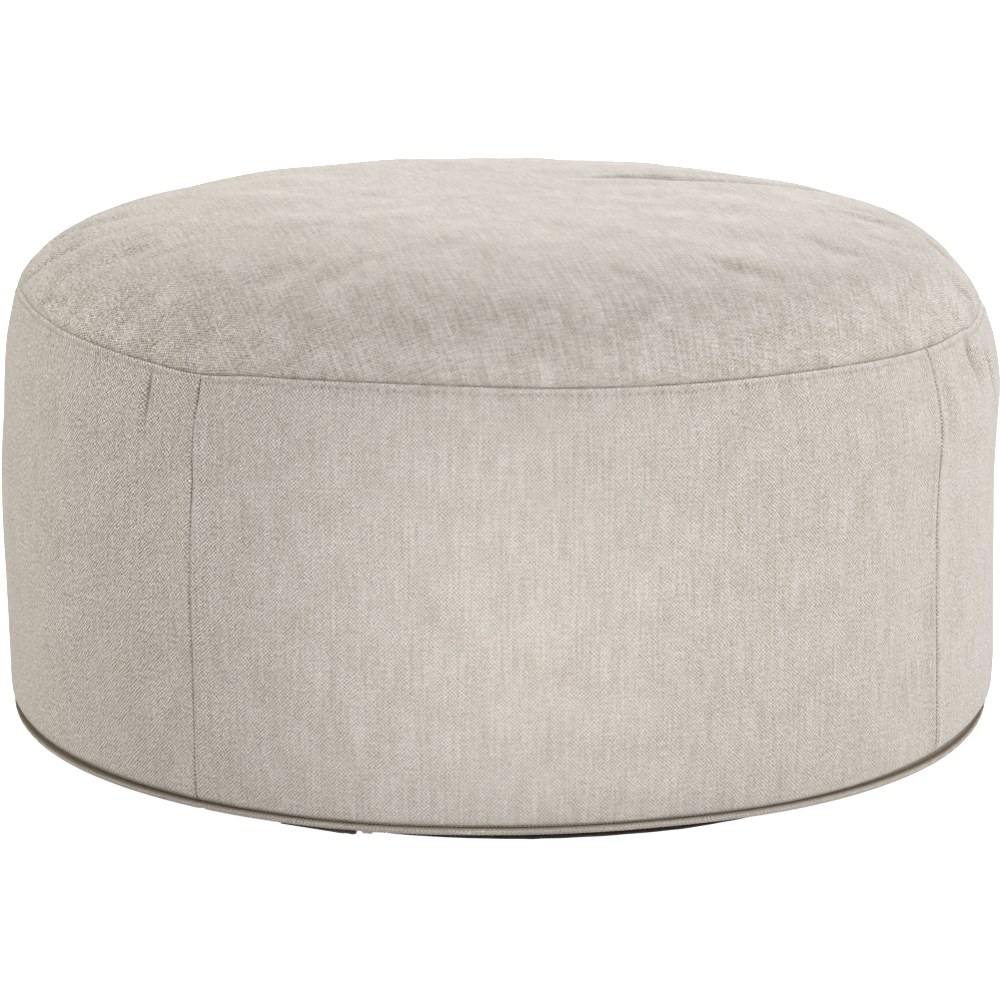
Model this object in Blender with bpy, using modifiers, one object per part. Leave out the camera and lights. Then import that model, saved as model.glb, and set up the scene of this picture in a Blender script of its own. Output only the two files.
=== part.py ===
"""A round upholstered stool: a low fabric pouf, 0.6 m across and 0.31 m high, lying flat on its base.

One filled body shows at the top as the crown. Four band panels, sewn end to end, go round its side.
A corded piping closes the foot of the band, a dark base panel lies under it, and the end of a
coil zip peeps out from under the piping at the front.

Azimuth runs in degrees from the front (-Y) towards the right (+X). Left is azimuth -90.
"""

import math
from collections import namedtuple

import bmesh
import bpy
import numpy as np

# Driving dimensions, in metres
SEAM_RADIUS = 0.2885
SEAM_PLANE = 0.2510
SEAM_PLANE_SLOPE = -0.0085
CLOTH_THICKNESS = 0.0020
PIECE_GAP = 0.0003
BODY_RECESS = CLOTH_THICKNESS + 0.0011
PIPING_RADIUS = 0.0038
PIPING_RING_RADIUS = 0.2940
BASE_THICKNESS = 0.0015
SEAM_ROLL_WIDTH = 0.0030
SEAM_ROLL_DEPTH = 0.0008

# Mesh density
COLUMNS_PER_PANEL = 24
PIPING_RESOLUTION = 2
BASE_COLUMN_STEP = 4
SHARP_EDGE_ANGLE = math.radians(50)
WELD_DISTANCE = 0.000001

# The vertical seams of the band, in degrees, and the panel that starts at each
SEAM_AZIMUTHS = (-34.6, 56.8, 145.5, 235.5)
PANEL_NAMES = ("band_panel_front", "band_panel_right", "band_panel_back", "band_panel_left")

# The band's outer radius on the left and the right, up its height from the piping to the top seam
BandRow = namedtuple("BandRow", "share left right")
BAND_ROWS = (
    BandRow(0.000, 0.2956, 0.2964),
    BandRow(0.015, 0.2974, 0.2996),
    BandRow(0.050, 0.2989, 0.3013),
    BandRow(0.150, 0.2996, 0.3009),
    BandRow(0.300, 0.3006, 0.2997),
    BandRow(0.450, 0.3018, 0.2986),
    BandRow(0.580, 0.3014, 0.2979),
    BandRow(0.700, 0.2992, 0.2990),
    BandRow(0.800, 0.2979, 0.3004),
    BandRow(0.880, 0.2958, 0.2983),
    BandRow(0.940, 0.2924, 0.2950),
    BandRow(0.980, 0.2897, 0.2913),
    BandRow(1.000, 0.2885, 0.2885),
)

# The crown's height over the plane of the top seam, from its middle out to the seam
CrownRow = namedtuple("CrownRow", "share left right")
CROWN_ROWS = (
    CrownRow(0.000, 0.0590, 0.0590),
    CrownRow(0.170, 0.0594, 0.0586),
    CrownRow(0.340, 0.0600, 0.0578),
    CrownRow(0.500, 0.0590, 0.0562),
    CrownRow(0.640, 0.0534, 0.0532),
    CrownRow(0.760, 0.0453, 0.0488),
    CrownRow(0.860, 0.0350, 0.0414),
    CrownRow(0.930, 0.0238, 0.0278),
    CrownRow(0.975, 0.0114, 0.0118),
    CrownRow(0.993, 0.0044, 0.0042),
    CrownRow(1.000, 0.0000, 0.0000),
)
SEAM_REACH = 6
SEAM_HOLD = 24

# The height of the top seam, which the filling lifts and the stitching pulls unevenly
SeamPoint = namedtuple("SeamPoint", "azimuth height")
TOP_SEAM = (
    SeamPoint(-180, 0.2525),
    SeamPoint(-145, 0.2500),
    SeamPoint(-124.5, 0.2510),
    SeamPoint(-100, 0.2580),
    SeamPoint(-78, 0.2610),
    SeamPoint(-60, 0.2553),
    SeamPoint(-43, 0.2503),
    SeamPoint(-34.6, 0.2480),
    SeamPoint(-27, 0.2508),
    SeamPoint(-9, 0.2522),
    SeamPoint(10, 0.2499),
    SeamPoint(37, 0.2489),
    SeamPoint(56.8, 0.2467),
    SeamPoint(72, 0.2440),
    SeamPoint(82, 0.2485),
    SeamPoint(110, 0.2475),
    SeamPoint(145.5, 0.2480),
)

# The height of the piping's middle, which rides up at the front
PipingPoint = namedtuple("PipingPoint", "azimuth height")
PIPING_HEIGHTS = (
    PipingPoint(-180, 0.0050),
    PipingPoint(-84, 0.0060),
    PipingPoint(-60, 0.0052),
    PipingPoint(-36, 0.0054),
    PipingPoint(-24, 0.0064),
    PipingPoint(0, 0.0068),
    PipingPoint(18, 0.0067),
    PipingPoint(34, 0.0054),
    PipingPoint(50, 0.0049),
    PipingPoint(80, 0.0060),
    PipingPoint(110, 0.0050),
)

# Creases and rolls of the crown, each along a line from one place to another seen from above
CrownFold = namedtuple("CrownFold", "x0 y0 x1 y1 half_width height")
CROWN_FOLDS = (
    CrownFold(0.012, 0.066, 0.150, 0.084, 0.010, -0.0030),
    CrownFold(0.070, 0.098, 0.160, 0.120, 0.014, +0.0024),
    CrownFold(0.012, 0.190, 0.044, 0.215, 0.026, -0.0044),
    CrownFold(-0.284, -0.052, -0.243, -0.066, 0.007, -0.0026),
    CrownFold(-0.284, -0.004, -0.258, -0.004, 0.007, -0.0024),
    CrownFold(-0.264, -0.107, -0.252, -0.118, 0.007, -0.0020),
    CrownFold(-0.276, -0.028, -0.240, -0.030, 0.008, +0.0016),
    CrownFold(0.255, -0.014, 0.270, -0.034, 0.008, -0.0022),
    CrownFold(0.262, -0.066, 0.281, -0.058, 0.008, -0.0020),
    CrownFold(0.246, -0.104, 0.264, -0.102, 0.008, +0.0014),
)
FOLD_LEAN_POWER = 4

# Pinches and wrinkles of the band, in degrees round it and in shares of its height
BandFold = namedtuple("BandFold", "azimuth share half_angle half_share depth")
BAND_FOLDS = (
    BandFold(-42.1, 0.91, 2.2, 0.060, 0.0018),
    BandFold(-34.6, 0.86, 3.0, 0.140, 0.0010),
    BandFold(56.8, 0.90, 3.2, 0.100, 0.0022),
    BandFold(68.0, 0.88, 2.4, 0.080, 0.0014),
    BandFold(75.3, 0.86, 2.4, 0.100, 0.0016),
    BandFold(71.6, 0.86, 2.2, 0.090, -0.0008),
    BandFold(145.5, 0.90, 3.2, 0.100, 0.0016),
    BandFold(-124.5, 0.90, 3.2, 0.100, 0.0016),
)

# The zip end: a straight run of coil under the piping, its slider, and a bar of the cover's cloth
ZIP_START = (-0.1204, -0.2643)
ZIP_END = (-0.0852, -0.2821)
ZIP_WIDTH = 0.0050
ZIP_THICKNESS = 0.0013
SLIDER_LENGTH = 0.0070
SLIDER_THICKNESS = 0.0021
SLIDER_TIP_WIDTH = 0.0020
END_TAB_AZIMUTH = -14.4
END_TAB_RADIUS = 0.2926
END_TAB_SIZE = (0.0062, 0.0028, 0.0022)
ZIP_LIFT = 0.0002
SOFT_EDGE_SHARE = 0.25

# The base panel's rim, which shows under the piping at the front and makes way for the zip end
RimPoint = namedtuple("RimPoint", "azimuth radius")
BASE_RIM = (
    RimPoint(-180, 0.2918),
    RimPoint(-28.0, 0.2918),
    RimPoint(-27.0, 0.2846),
    RimPoint(-12.4, 0.2846),
    RimPoint(-12.0, 0.2916),
    RimPoint(-5.0, 0.2930),
    RimPoint(4.0, 0.2946),
    RimPoint(20.0, 0.2940),
    RimPoint(30.0, 0.2918),
)


def around(points, azimuth):
    """A table's second column at an azimuth, carried smoothly round the closed ring of its rows."""
    first = points[0][0]
    azimuth = first + (azimuth - first) % 360.0
    angles = [point[0] for point in points]
    values = [point[1] for point in points]
    count = len(points)
    index = max(i for i in range(count) if angles[i] <= azimuth)

    def angle_at(i):
        return angles[i % count] + 360.0 * (i // count)

    def slope_at(i):
        rise = values[(i + 1) % count] - values[(i - 1) % count]
        return rise / (angle_at(i + 1) - angle_at(i - 1))

    span = angle_at(index + 1) - angle_at(index)
    t = (azimuth - angle_at(index)) / span
    start, end = values[index], values[(index + 1) % count]
    return (
        (2 * t**3 - 3 * t**2 + 1) * start
        + (t**3 - 2 * t**2 + t) * span * slope_at(index)
        + (3 * t**2 - 2 * t**3) * end
        + (t**3 - t**2) * span * slope_at(index + 1)
    )


def left_right(row, azimuth):
    """A row's left and right values, blended round the piece."""
    right_share = (1 + math.sin(math.radians(azimuth))) / 2
    return row.left * (1 - right_share) + row.right * right_share


def angle_between(a, b):
    return abs((a - b + 180.0) % 360.0 - 180.0)


def hem_height(azimuth):
    """Where the foot of the band sits on the piping."""
    return around(PIPING_HEIGHTS, azimuth) + PIPING_RADIUS + PIECE_GAP


def seam_roll(azimuth):
    """How far the cloth turns in at the nearest vertical seam."""
    nearest = min(angle_between(azimuth, seam) for seam in SEAM_AZIMUTHS)
    distance = math.radians(nearest) * SEAM_RADIUS
    return SEAM_ROLL_DEPTH * max(0.0, 1 - distance / SEAM_ROLL_WIDTH)


def band_fold(azimuth, share):
    """The depth of all the band's pinches and wrinkles at one place."""
    depth = 0.0
    for fold in BAND_FOLDS:
        across = angle_between(azimuth, fold.azimuth) / fold.half_angle
        along = (share - fold.share) / fold.half_share
        depth += fold.depth * math.exp(-(across**2) - along**2)
    return depth


def band_point(azimuth, row, inward=0.0):
    """Radius and height on the band's outer face, or that far inside it."""
    radius = left_right(row, azimuth) - inward - seam_roll(azimuth)
    radius -= band_fold(azimuth, row.share)
    foot = hem_height(azimuth)
    height = foot + (around(TOP_SEAM, azimuth) - foot) * row.share
    return radius, height


def crown_fold(x, y):
    """The height of all the crown's creases and rolls at one place seen from above."""
    height = 0.0
    for fold in CROWN_FOLDS:
        run = (fold.x1 - fold.x0, fold.y1 - fold.y0)
        length = math.hypot(*run)
        along = ((x - fold.x0) * run[0] + (y - fold.y0) * run[1]) / length**2
        along = min(1.0, max(0.0, along))
        away = math.hypot(x - fold.x0 - along * run[0], y - fold.y0 - along * run[1])
        height += fold.height * math.exp(-((away / fold.half_width) ** 2))
    return height


def crown_point(azimuth, row):
    """Radius and height on the crown, which meets the uneven seam at its rim."""
    turn = math.radians(azimuth)
    radius = SEAM_RADIUS * row.share
    x = radius * math.sin(turn)
    y = -radius * math.cos(turn)
    plane = SEAM_PLANE + SEAM_PLANE_SLOPE * x
    rim_plane = SEAM_PLANE + SEAM_PLANE_SLOPE * SEAM_RADIUS * math.sin(turn)
    seam_rise = around(TOP_SEAM, azimuth) + PIECE_GAP - rim_plane
    height = plane + left_right(row, azimuth) + seam_rise * row.share**SEAM_REACH
    fold = crown_fold(x, y) * (1 - row.share**SEAM_HOLD)
    lean = row.share**FOLD_LEAN_POWER
    drawn_in = SEAM_RADIUS - band_point(azimuth, BAND_ROWS[-1])[0]
    radius -= drawn_in * row.share**SEAM_REACH
    return radius + fold * lean, height + fold * (1 - lean)


def body_section(azimuth):
    """The body's outline at an azimuth, from the crown's middle down to the middle underneath."""
    points = [crown_point(azimuth, row) for row in CROWN_ROWS]
    points.append((points[-1][0] - BODY_RECESS, points[-1][1]))
    points += [band_point(azimuth, row, BODY_RECESS) for row in reversed(BAND_ROWS[:-1])]
    ring_inside = PIPING_RING_RADIUS - PIPING_RADIUS - 2 * PIECE_GAP
    underside = BASE_THICKNESS + PIECE_GAP
    points += [(ring_inside, points[-1][1]), (ring_inside, underside), (0.0, underside)]
    return points


def panel_azimuths(panel, end_gap=0.0):
    """The columns of one band panel, closer together where its ends turn in at the seams."""
    start = SEAM_AZIMUTHS[panel]
    end = SEAM_AZIMUTHS[(panel + 1) % len(SEAM_AZIMUTHS)]
    if end < start:
        end += 360.0
    inset = math.degrees(end_gap / SEAM_RADIUS)
    roll = math.degrees(SEAM_ROLL_WIDTH / SEAM_RADIUS)
    inner = np.linspace(start, end, COLUMNS_PER_PANEL + 1)[1:-1]
    return [start + inset, start + roll, *inner, end - roll, end - inset]


def ring_azimuths():
    """The columns of all four panels, joined into one closed ring."""
    azimuths = []
    for panel in range(len(SEAM_AZIMUTHS)):
        azimuths += panel_azimuths(panel)[:-1]
    return azimuths


def at(azimuth, radius, height):
    turn = math.radians(azimuth)
    return (radius * math.sin(turn), -radius * math.cos(turn), height)


def material(name, colour, roughness):
    """A plain cloth or plastic finish; colour is linear RGB."""
    finish = bpy.data.materials.new(name)
    finish.use_nodes = True
    shader = finish.node_tree.nodes["Principled BSDF"]
    shader.inputs["Base Color"].default_value = (*colour, 1.0)
    shader.inputs["Roughness"].default_value = roughness
    shader.inputs["Metallic"].default_value = 0.0
    finish.diffuse_color = (*colour, 1.0)
    return finish


def add_piece(name, data, finish, collection):
    piece = bpy.data.objects.new(name, data)
    piece.data.materials.append(finish)
    collection.objects.link(piece)
    return piece


def cloth_grid(name, sections, closed):
    """A grid of cloth laid over a list of sections, each a list of points.

    Closed sections go all the way round, so the last column is sewn to the first, and points that
    fall together, as at the crown's middle, become one.
    """
    columns = len(sections) if closed else len(sections) - 1
    rows = len(sections[0]) - 1
    mesh = bmesh.new()
    bmesh.ops.create_grid(mesh, x_segments=columns, y_segments=rows, size=0.5)
    for vertex in mesh.verts:
        column = round((vertex.co.x + 0.5) * columns) % len(sections)
        row = round((vertex.co.y + 0.5) * rows)
        vertex.co = sections[column][row]
    bmesh.ops.remove_doubles(mesh, verts=mesh.verts, dist=WELD_DISTANCE)
    data = bpy.data.meshes.new(name)
    mesh.to_mesh(data)
    mesh.free()
    data.shade_smooth()
    return data


def filled_body(finish, collection):
    """The filled body: its crown, the side drawn in under the band, and its flat underside."""
    sections = []
    for azimuth in ring_azimuths():
        points = [at(azimuth, *point) for point in reversed(body_section(azimuth))]
        sections.append(points)
    data = cloth_grid("filled_body", sections, closed=True)
    data.set_sharp_from_angle(angle=SHARP_EDGE_ANGLE)
    add_piece("filled_body", data, finish, collection)


def band_panel(panel, finish, collection):
    """One quarter of the band, a sheet with its thickness inside its outer face."""
    name = PANEL_NAMES[panel]
    sections = []
    for azimuth in panel_azimuths(panel, PIECE_GAP / 2):
        sections.append([at(azimuth, *band_point(azimuth, row)) for row in BAND_ROWS])
    data = cloth_grid(name, sections, closed=False)
    piece = add_piece(name, data, finish, collection)
    thickness = piece.modifiers.new("thickness", "SOLIDIFY")
    thickness.thickness = CLOTH_THICKNESS
    thickness.offset = -1.0
    thickness.use_even_offset = True


def piping(finish, collection):
    """The corded piping round the foot of the band, one closed ring."""
    curve = bpy.data.curves.new("piping", "CURVE")
    curve.dimensions = "3D"
    curve.twist_mode = "Z_UP"
    curve.bevel_depth = PIPING_RADIUS
    curve.bevel_resolution = PIPING_RESOLUTION
    curve.use_fill_caps = True
    azimuths = ring_azimuths()
    spline = curve.splines.new("POLY")
    spline.points.add(len(azimuths) - 1)
    for point, azimuth in zip(spline.points, azimuths):
        height = around(PIPING_HEIGHTS, azimuth)
        point.co = (*at(azimuth, PIPING_RING_RADIUS, height), 1.0)
    spline.use_cyclic_u = True
    add_piece("piping", curve, finish, collection)


def base_panel(finish, collection):
    """The flat base cloth on the floor, a disc whose rim follows its own table."""
    even_steps = set(range(-180, 180, BASE_COLUMN_STEP))
    azimuths = sorted({point.azimuth for point in BASE_RIM} | even_steps)
    angles = [point.azimuth for point in BASE_RIM]
    radii = [point.radius for point in BASE_RIM]
    mesh = bmesh.new()
    bmesh.ops.create_cone(
        mesh,
        cap_ends=True,
        segments=len(azimuths),
        radius1=1.0,
        radius2=1.0,
        depth=BASE_THICKNESS,
    )
    for vertex in mesh.verts:
        turn = math.atan2(vertex.co.x, -vertex.co.y)
        index = round(turn / (2 * math.pi) * len(azimuths)) % len(azimuths)
        azimuth = azimuths[index]
        radius = float(np.interp(azimuth, angles, radii, period=360.0))
        vertex.co = at(azimuth, radius, vertex.co.z + BASE_THICKNESS / 2)
    data = bpy.data.meshes.new("base_panel")
    mesh.to_mesh(data)
    mesh.free()
    add_piece("base_panel", data, finish, collection)


def small_block(name, size, middle, turn, finish, collection, tip_width=None):
    """A small block with softened edges, turned in plan; its +X end may narrow to a tip."""
    mesh = bmesh.new()
    bmesh.ops.create_cube(mesh, size=1.0)
    bmesh.ops.scale(mesh, vec=size, verts=mesh.verts)
    if tip_width is not None:
        for vertex in mesh.verts:
            if vertex.co.x > 0:
                vertex.co.y *= tip_width / size[1]
    data = bpy.data.meshes.new(name)
    mesh.to_mesh(data)
    mesh.free()
    piece = add_piece(name, data, finish, collection)
    piece.location = middle
    piece.rotation_euler.z = turn
    edges = piece.modifiers.new("soft_edges", "BEVEL")
    edges.width = min(size) * SOFT_EDGE_SHARE
    edges.segments = 2
    edges.limit_method = "ANGLE"


def zip_end(coil_finish, slider_finish, tab_finish, collection):
    """The end of the zip at the front left: the coil's straight run, the slider and the end tab."""
    run = np.array(ZIP_END) - np.array(ZIP_START)
    length = float(np.hypot(*run))
    along = run / length
    inward = np.array((-along[1], along[0]))
    turn = math.atan2(along[1], along[0])
    coil_middle = (np.array(ZIP_START) + np.array(ZIP_END)) / 2 + inward * ZIP_WIDTH / 2
    small_block(
        "zip_coil",
        (length, ZIP_WIDTH, ZIP_THICKNESS),
        (*coil_middle, ZIP_LIFT + ZIP_THICKNESS / 2),
        turn,
        coil_finish,
        collection,
    )
    reach = PIECE_GAP + SLIDER_LENGTH / 2
    slider_middle = np.array(ZIP_END) + along * reach + inward * ZIP_WIDTH / 2
    small_block(
        "zip_slider",
        (SLIDER_LENGTH, ZIP_WIDTH, SLIDER_THICKNESS),
        (*slider_middle, ZIP_LIFT + SLIDER_THICKNESS / 2),
        turn,
        slider_finish,
        collection,
        tip_width=SLIDER_TIP_WIDTH,
    )
    small_block(
        "zip_end_tab",
        END_TAB_SIZE,
        at(END_TAB_AZIMUTH, END_TAB_RADIUS, ZIP_LIFT + END_TAB_SIZE[2] / 2),
        math.radians(END_TAB_AZIMUTH),
        tab_finish,
        collection,
    )


def clear_scene():
    for old in list(bpy.data.objects):
        bpy.data.objects.remove(old, do_unlink=True)


def main():
    clear_scene()
    pouf = bpy.data.collections.new("round_pouf")
    bpy.context.scene.collection.children.link(pouf)
    filled_body(material("crown_cloth", (0.53, 0.49, 0.43), 0.92), pouf)
    for panel in range(len(PANEL_NAMES)):
        band_panel(panel, material(f"{PANEL_NAMES[panel]}_cloth", (0.56, 0.51, 0.45), 0.92), pouf)
    piping(material("piping_cloth", (0.47, 0.42, 0.36), 0.92), pouf)
    base_panel(material("base_cloth", (0.075, 0.06, 0.05), 0.95), pouf)
    zip_end(
        material("zip_coil_nylon", (0.16, 0.15, 0.11), 0.7),
        material("zip_slider_metal", (0.03, 0.022, 0.018), 0.45),
        material("zip_tab_cloth", (0.45, 0.40, 0.34), 0.92),
        pouf,
    )


main()
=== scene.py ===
"""The looks of a round upholstered pouf: its crown, band panels, piping, seams, base and zip end.

Azimuth runs in degrees from the front (-Y) towards the right (+X). Lengths are in metres.
"""

import math

import bpy
import numpy as np
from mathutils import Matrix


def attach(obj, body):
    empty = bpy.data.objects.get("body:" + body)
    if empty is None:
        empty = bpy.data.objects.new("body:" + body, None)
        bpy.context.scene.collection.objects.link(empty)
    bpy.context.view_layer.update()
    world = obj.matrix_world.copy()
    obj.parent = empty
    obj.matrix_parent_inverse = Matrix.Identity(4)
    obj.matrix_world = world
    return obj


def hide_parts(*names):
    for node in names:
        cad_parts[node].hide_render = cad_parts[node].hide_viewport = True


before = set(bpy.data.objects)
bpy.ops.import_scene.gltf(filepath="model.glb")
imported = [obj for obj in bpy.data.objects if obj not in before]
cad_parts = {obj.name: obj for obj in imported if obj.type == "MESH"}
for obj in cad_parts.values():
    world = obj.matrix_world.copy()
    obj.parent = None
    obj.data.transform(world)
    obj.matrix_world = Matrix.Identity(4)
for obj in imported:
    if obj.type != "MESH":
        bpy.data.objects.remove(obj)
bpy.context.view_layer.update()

# Sizes, mostly those of the part's solids. The foot of the band, the piping and the far right of the
# top seam lie up to 3 mm off them, where the photo shows it.
SEAM_RADIUS = 0.2885
SEAM_PLANE = 0.2510
SEAM_PLANE_SLOPE = -0.0085
CLOTH_THICKNESS = 0.0020
PIECE_GAP = 0.0003
PANEL_GAP = 0.00008
PIPING_RADIUS = 0.0034
PIPING_DROP = 0.0004
HEM_OVERHANG = 0.0014
PIPING_RING_RADIUS = 0.2940
BASE_THICKNESS = 0.0015
SEAM_REACH = 6
SEAM_HOLD = 24
FOLD_LEAN_POWER = 4
SEAM_AZIMUTHS = (-34.6, 56.8, 145.5, 235.5)
PANEL_NAMES = ("band_panel_front", "band_panel_right", "band_panel_back", "band_panel_left")

# Columns: share of the band's height from the piping up, radius on the left, radius on the right
BAND_ROWS = np.array([
    (0.000, 0.2969, 0.2974),
    (0.015, 0.2982, 0.2998),
    (0.050, 0.2989, 0.3013),
    (0.150, 0.2996, 0.3009),
    (0.300, 0.3006, 0.2997),
    (0.450, 0.3018, 0.2986),
    (0.580, 0.3014, 0.2979),
    (0.700, 0.2992, 0.2990),
    (0.800, 0.2979, 0.3004),
    (0.880, 0.2958, 0.2983),
    (0.940, 0.2924, 0.2950),
    (0.980, 0.2897, 0.2913),
    (1.000, 0.2885, 0.2885),
])

# Columns: share of the seam's radius from the middle out, height over the seam's plane left, right
CROWN_ROWS = np.array([
    (0.000, 0.0590, 0.0590),
    (0.170, 0.0594, 0.0586),
    (0.340, 0.0600, 0.0578),
    (0.500, 0.0590, 0.0562),
    (0.640, 0.0534, 0.0532),
    (0.760, 0.0453, 0.0488),
    (0.860, 0.0350, 0.0414),
    (0.930, 0.0238, 0.0278),
    (0.975, 0.0114, 0.0118),
    (0.993, 0.0044, 0.0042),
    (1.000, 0.0000, 0.0000),
])

# Columns: azimuth, height of the top seam
TOP_SEAM = np.array([
    (-180, 0.2525),
    (-145, 0.2500),
    (-124.5, 0.2510),
    (-100, 0.2580),
    (-78, 0.2610),
    (-60, 0.2553),
    (-43, 0.2503),
    (-34.6, 0.2480),
    (-27, 0.2508),
    (-9, 0.2522),
    (10, 0.2499),
    (37, 0.2489),
    (56.8, 0.2467),
    (66, 0.2474),
    (73, 0.2466),
    (82, 0.2485),
    (110, 0.2475),
    (145.5, 0.2480),
])

# Columns: azimuth, height of the piping's middle
PIPING_HEIGHTS = np.array([
    (-180, 0.0050),
    (-84, 0.0060),
    (-60, 0.0052),
    (-36, 0.0052),
    (-26, 0.0053),
    (-14, 0.0055),
    (-3, 0.0063),
    (10, 0.0066),
    (20, 0.0065),
    (34, 0.0052),
    (50, 0.0044),
    (62, 0.0044),
    (80, 0.0060),
    (110, 0.0050),
])

# Columns: start x, start y, end x, end y, half width to the right of that line and to its left, height of
# a crease or roll of the crown
CROWN_FOLDS = (
    (0.040, 0.073, 0.185, 0.090, 0.0080, 0.0030, -0.0015),
    (0.060, 0.084, 0.170, 0.100, 0.0065, 0.0150, +0.0010),
    (0.070, 0.098, 0.160, 0.120, 0.0140, 0.0140, +0.0020),
    (0.012, 0.190, 0.044, 0.215, 0.0260, 0.0260, -0.0044),
    (-0.286, -0.052, -0.243, -0.066, 0.0040, 0.0040, -0.0046),
    (-0.286, -0.004, -0.258, -0.004, 0.0040, 0.0040, -0.0042),
    (-0.266, -0.107, -0.252, -0.118, 0.0040, 0.0040, -0.0030),
    (-0.276, -0.028, -0.240, -0.030, 0.0080, 0.0080, +0.0016),
    (0.255, -0.014, 0.270, -0.034, 0.0045, 0.0045, -0.0034),
    (0.262, -0.066, 0.281, -0.058, 0.0045, 0.0045, -0.0032),
    (0.246, -0.104, 0.264, -0.102, 0.0070, 0.0070, +0.0014),
)

# Columns: azimuth, share of height, half angle, half share, depth, lean in degrees for a whole share
BAND_FOLDS = (
    (-41.6, 0.925, 0.42, 0.065, 0.0017, -0.5),
    (-42.6, 0.905, 0.70, 0.085, -0.0008, 2.0),
    (-34.6, 0.86, 3.0, 0.140, 0.0010, 0.0),
    (57.9, 0.90, 1.4, 0.110, 0.0016, 10.0),
    (60.6, 0.89, 1.5, 0.100, -0.0010, 10.0),
    (68.0, 0.940, 1.0, 0.048, 0.0032, 10.0),
    (75.3, 0.880, 1.1, 0.060, 0.0034, 8.0),
    (71.6, 0.910, 1.5, 0.080, -0.0016, 9.0),
    (145.5, 0.90, 3.2, 0.100, 0.0016, 0.0),
    (235.5, 0.90, 3.2, 0.100, 0.0016, 0.0),
)
# Folds deeper than this get painted shade in their valleys, over this share of their half width
FOLD_SHADE_DEPTH = 0.0016
FOLD_SHADE_WIDTH = 0.6
SHARP_CREASE_WIDTH = 0.0050
FINE_FOLD_ANGLE = 1.2
FOLD_FINE_STEP = 0.0005
FOLD_FINE_REACH = 1.6

# Columns: azimuth of the upright seam, share of height, half share, depth of a pull in the seam
SEAM_PULLS = (
    (-34.6, 0.955, 0.040, 0.0016),
    (-34.6, 0.755, 0.045, 0.0014),
    (-34.6, 0.330, 0.090, 0.0005),
    (56.8, 0.873, 0.070, 0.0040),
    (56.8, 0.480, 0.120, 0.0006),
    (145.5, 0.900, 0.060, 0.0014),
    (145.5, 0.420, 0.090, 0.0008),
    (235.5, 0.940, 0.050, 0.0014),
    (235.5, 0.610, 0.070, 0.0010),
)
PULL_WIDTH = 0.0011

# How much wider than the others the shade of each upright seam is
SEAM_SHADES = (1.0, 1.3, 1.2, 1.2)

# Columns: azimuth, how much wider than in front the shade in the groove over the piping is
GROOVE_SHADES = np.array([
    (-90, 1.9),
    (-60, 1.8),
    (-40, 1.45),
    (-20, 1.0),
    (0, 1.0),
    (30, 1.0),
    (48, 1.05),
    (66, 1.2),
    (90, 1.3),
    (180, 1.3),
])

# Stretches where the foot of the band is drawn in over a fuller piping
# Columns: azimuth, half angle, share of the depth
FOOT_DRAWS = ((68.0, 24.0, 1.0), (-68.0, 24.0, 0.5))
FOOT_DRAW_DEPTH = 0.0020
FOOT_DRAW_HEIGHT = 0.018
FULLER_PIPING = 0.12

# Columns: azimuth, radius of the base panel's rim
BASE_RIM = np.array([
    (-180, 0.2895),
    (-28.0, 0.2895),
    (-27.0, 0.2846),
    (-12.4, 0.2846),
    (-12.0, 0.2908),
    (-5.0, 0.2930),
    (4.0, 0.2946),
    (20.0, 0.2940),
    (26.0, 0.2915),
    (30.0, 0.2895),
    (180, 0.2895),
])
RIM_NUB_AZIMUTH = 3.4
RIM_NUB_HALF_ANGLE = 0.7
RIM_NUB_SIZE = 0.0007
RIM_PUCKER = 0.00012

# Columns: 1 if the radius counts from the rim and 0 if from the middle, radius, height, 1 if puckered
BASE_SECTION = (
    (0, 0.0, 0.0, 0),
    (0, 0.12, 0.0, 0),
    (0, 0.22, 0.0, 0),
    (1, -0.0015, 0.0, 0),
    (1, -0.0004, 0.0002, 1),
    (1, 0.0, 0.0008, 1),
    (1, -0.0005, 0.0013, 0),
    (1, -0.002, BASE_THICKNESS, 0),
    (0, 0.22, BASE_THICKNESS, 0),
    (0, 0.12, BASE_THICKNESS, 0),
    (0, 0.0, BASE_THICKNESS, 0),
)

# Seams
SEAM_TURN_DEPTH = 0.0007
SEAM_TURN_WIDTH = 0.0007
TOPSTITCH_BELOW = 0.0034
TOPSTITCH_COUNT = 400
THREAD_RADIUS = 0.00033
STITCH_LENGTH = 0.0031
STITCH_ROW_RADIUS = 0.294
SIDE_STITCH_PITCH = 0.0026

# Zip end
ZIP_START = np.array((-0.1204, -0.2643))
ZIP_END = np.array((-0.0852, -0.2821))
ZIP_LENGTH = float(np.linalg.norm(ZIP_END - ZIP_START))
ZIP_WIDTH = 0.0050
ZIP_LIFT = 0.0002
COIL_RADIUS = 0.00055
COIL_OFFSET = 0.00085
COIL_HALF_WIDTH = 0.00105
COIL_LIFT = 0.00085
COIL_WIRE_RADIUS = 0.00024
COIL_PITCH = 0.0013
TAPE_THICKNESS = 0.0006
TAPE_REACH = 0.0065
SLIDER_LENGTH = 0.0070
SLIDER_THICKNESS = 0.0021
SLIDER_TIP_WIDTH = 0.0020
END_TAB_AZIMUTH = -14.4
END_TAB_RADIUS = 0.2926
END_TAB_SIZE = np.array((0.0062, 0.0032, 0.0027))

# Cloth, as made
THREAD_PITCH = 0.0011
CROWN_GRAIN = math.radians(-14)

# Camera, as fitted to the photograph's ellipses; image sizes are in pixels of a square frame
IMAGE_SIZE = 1000
FOCAL_PIXELS = 4038
SENSOR_WIDTH = 36.0
CAMERA_PLACE = (0.0, -2.40, 0.692)
CAMERA_DIP = math.radians(13.38)


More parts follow.
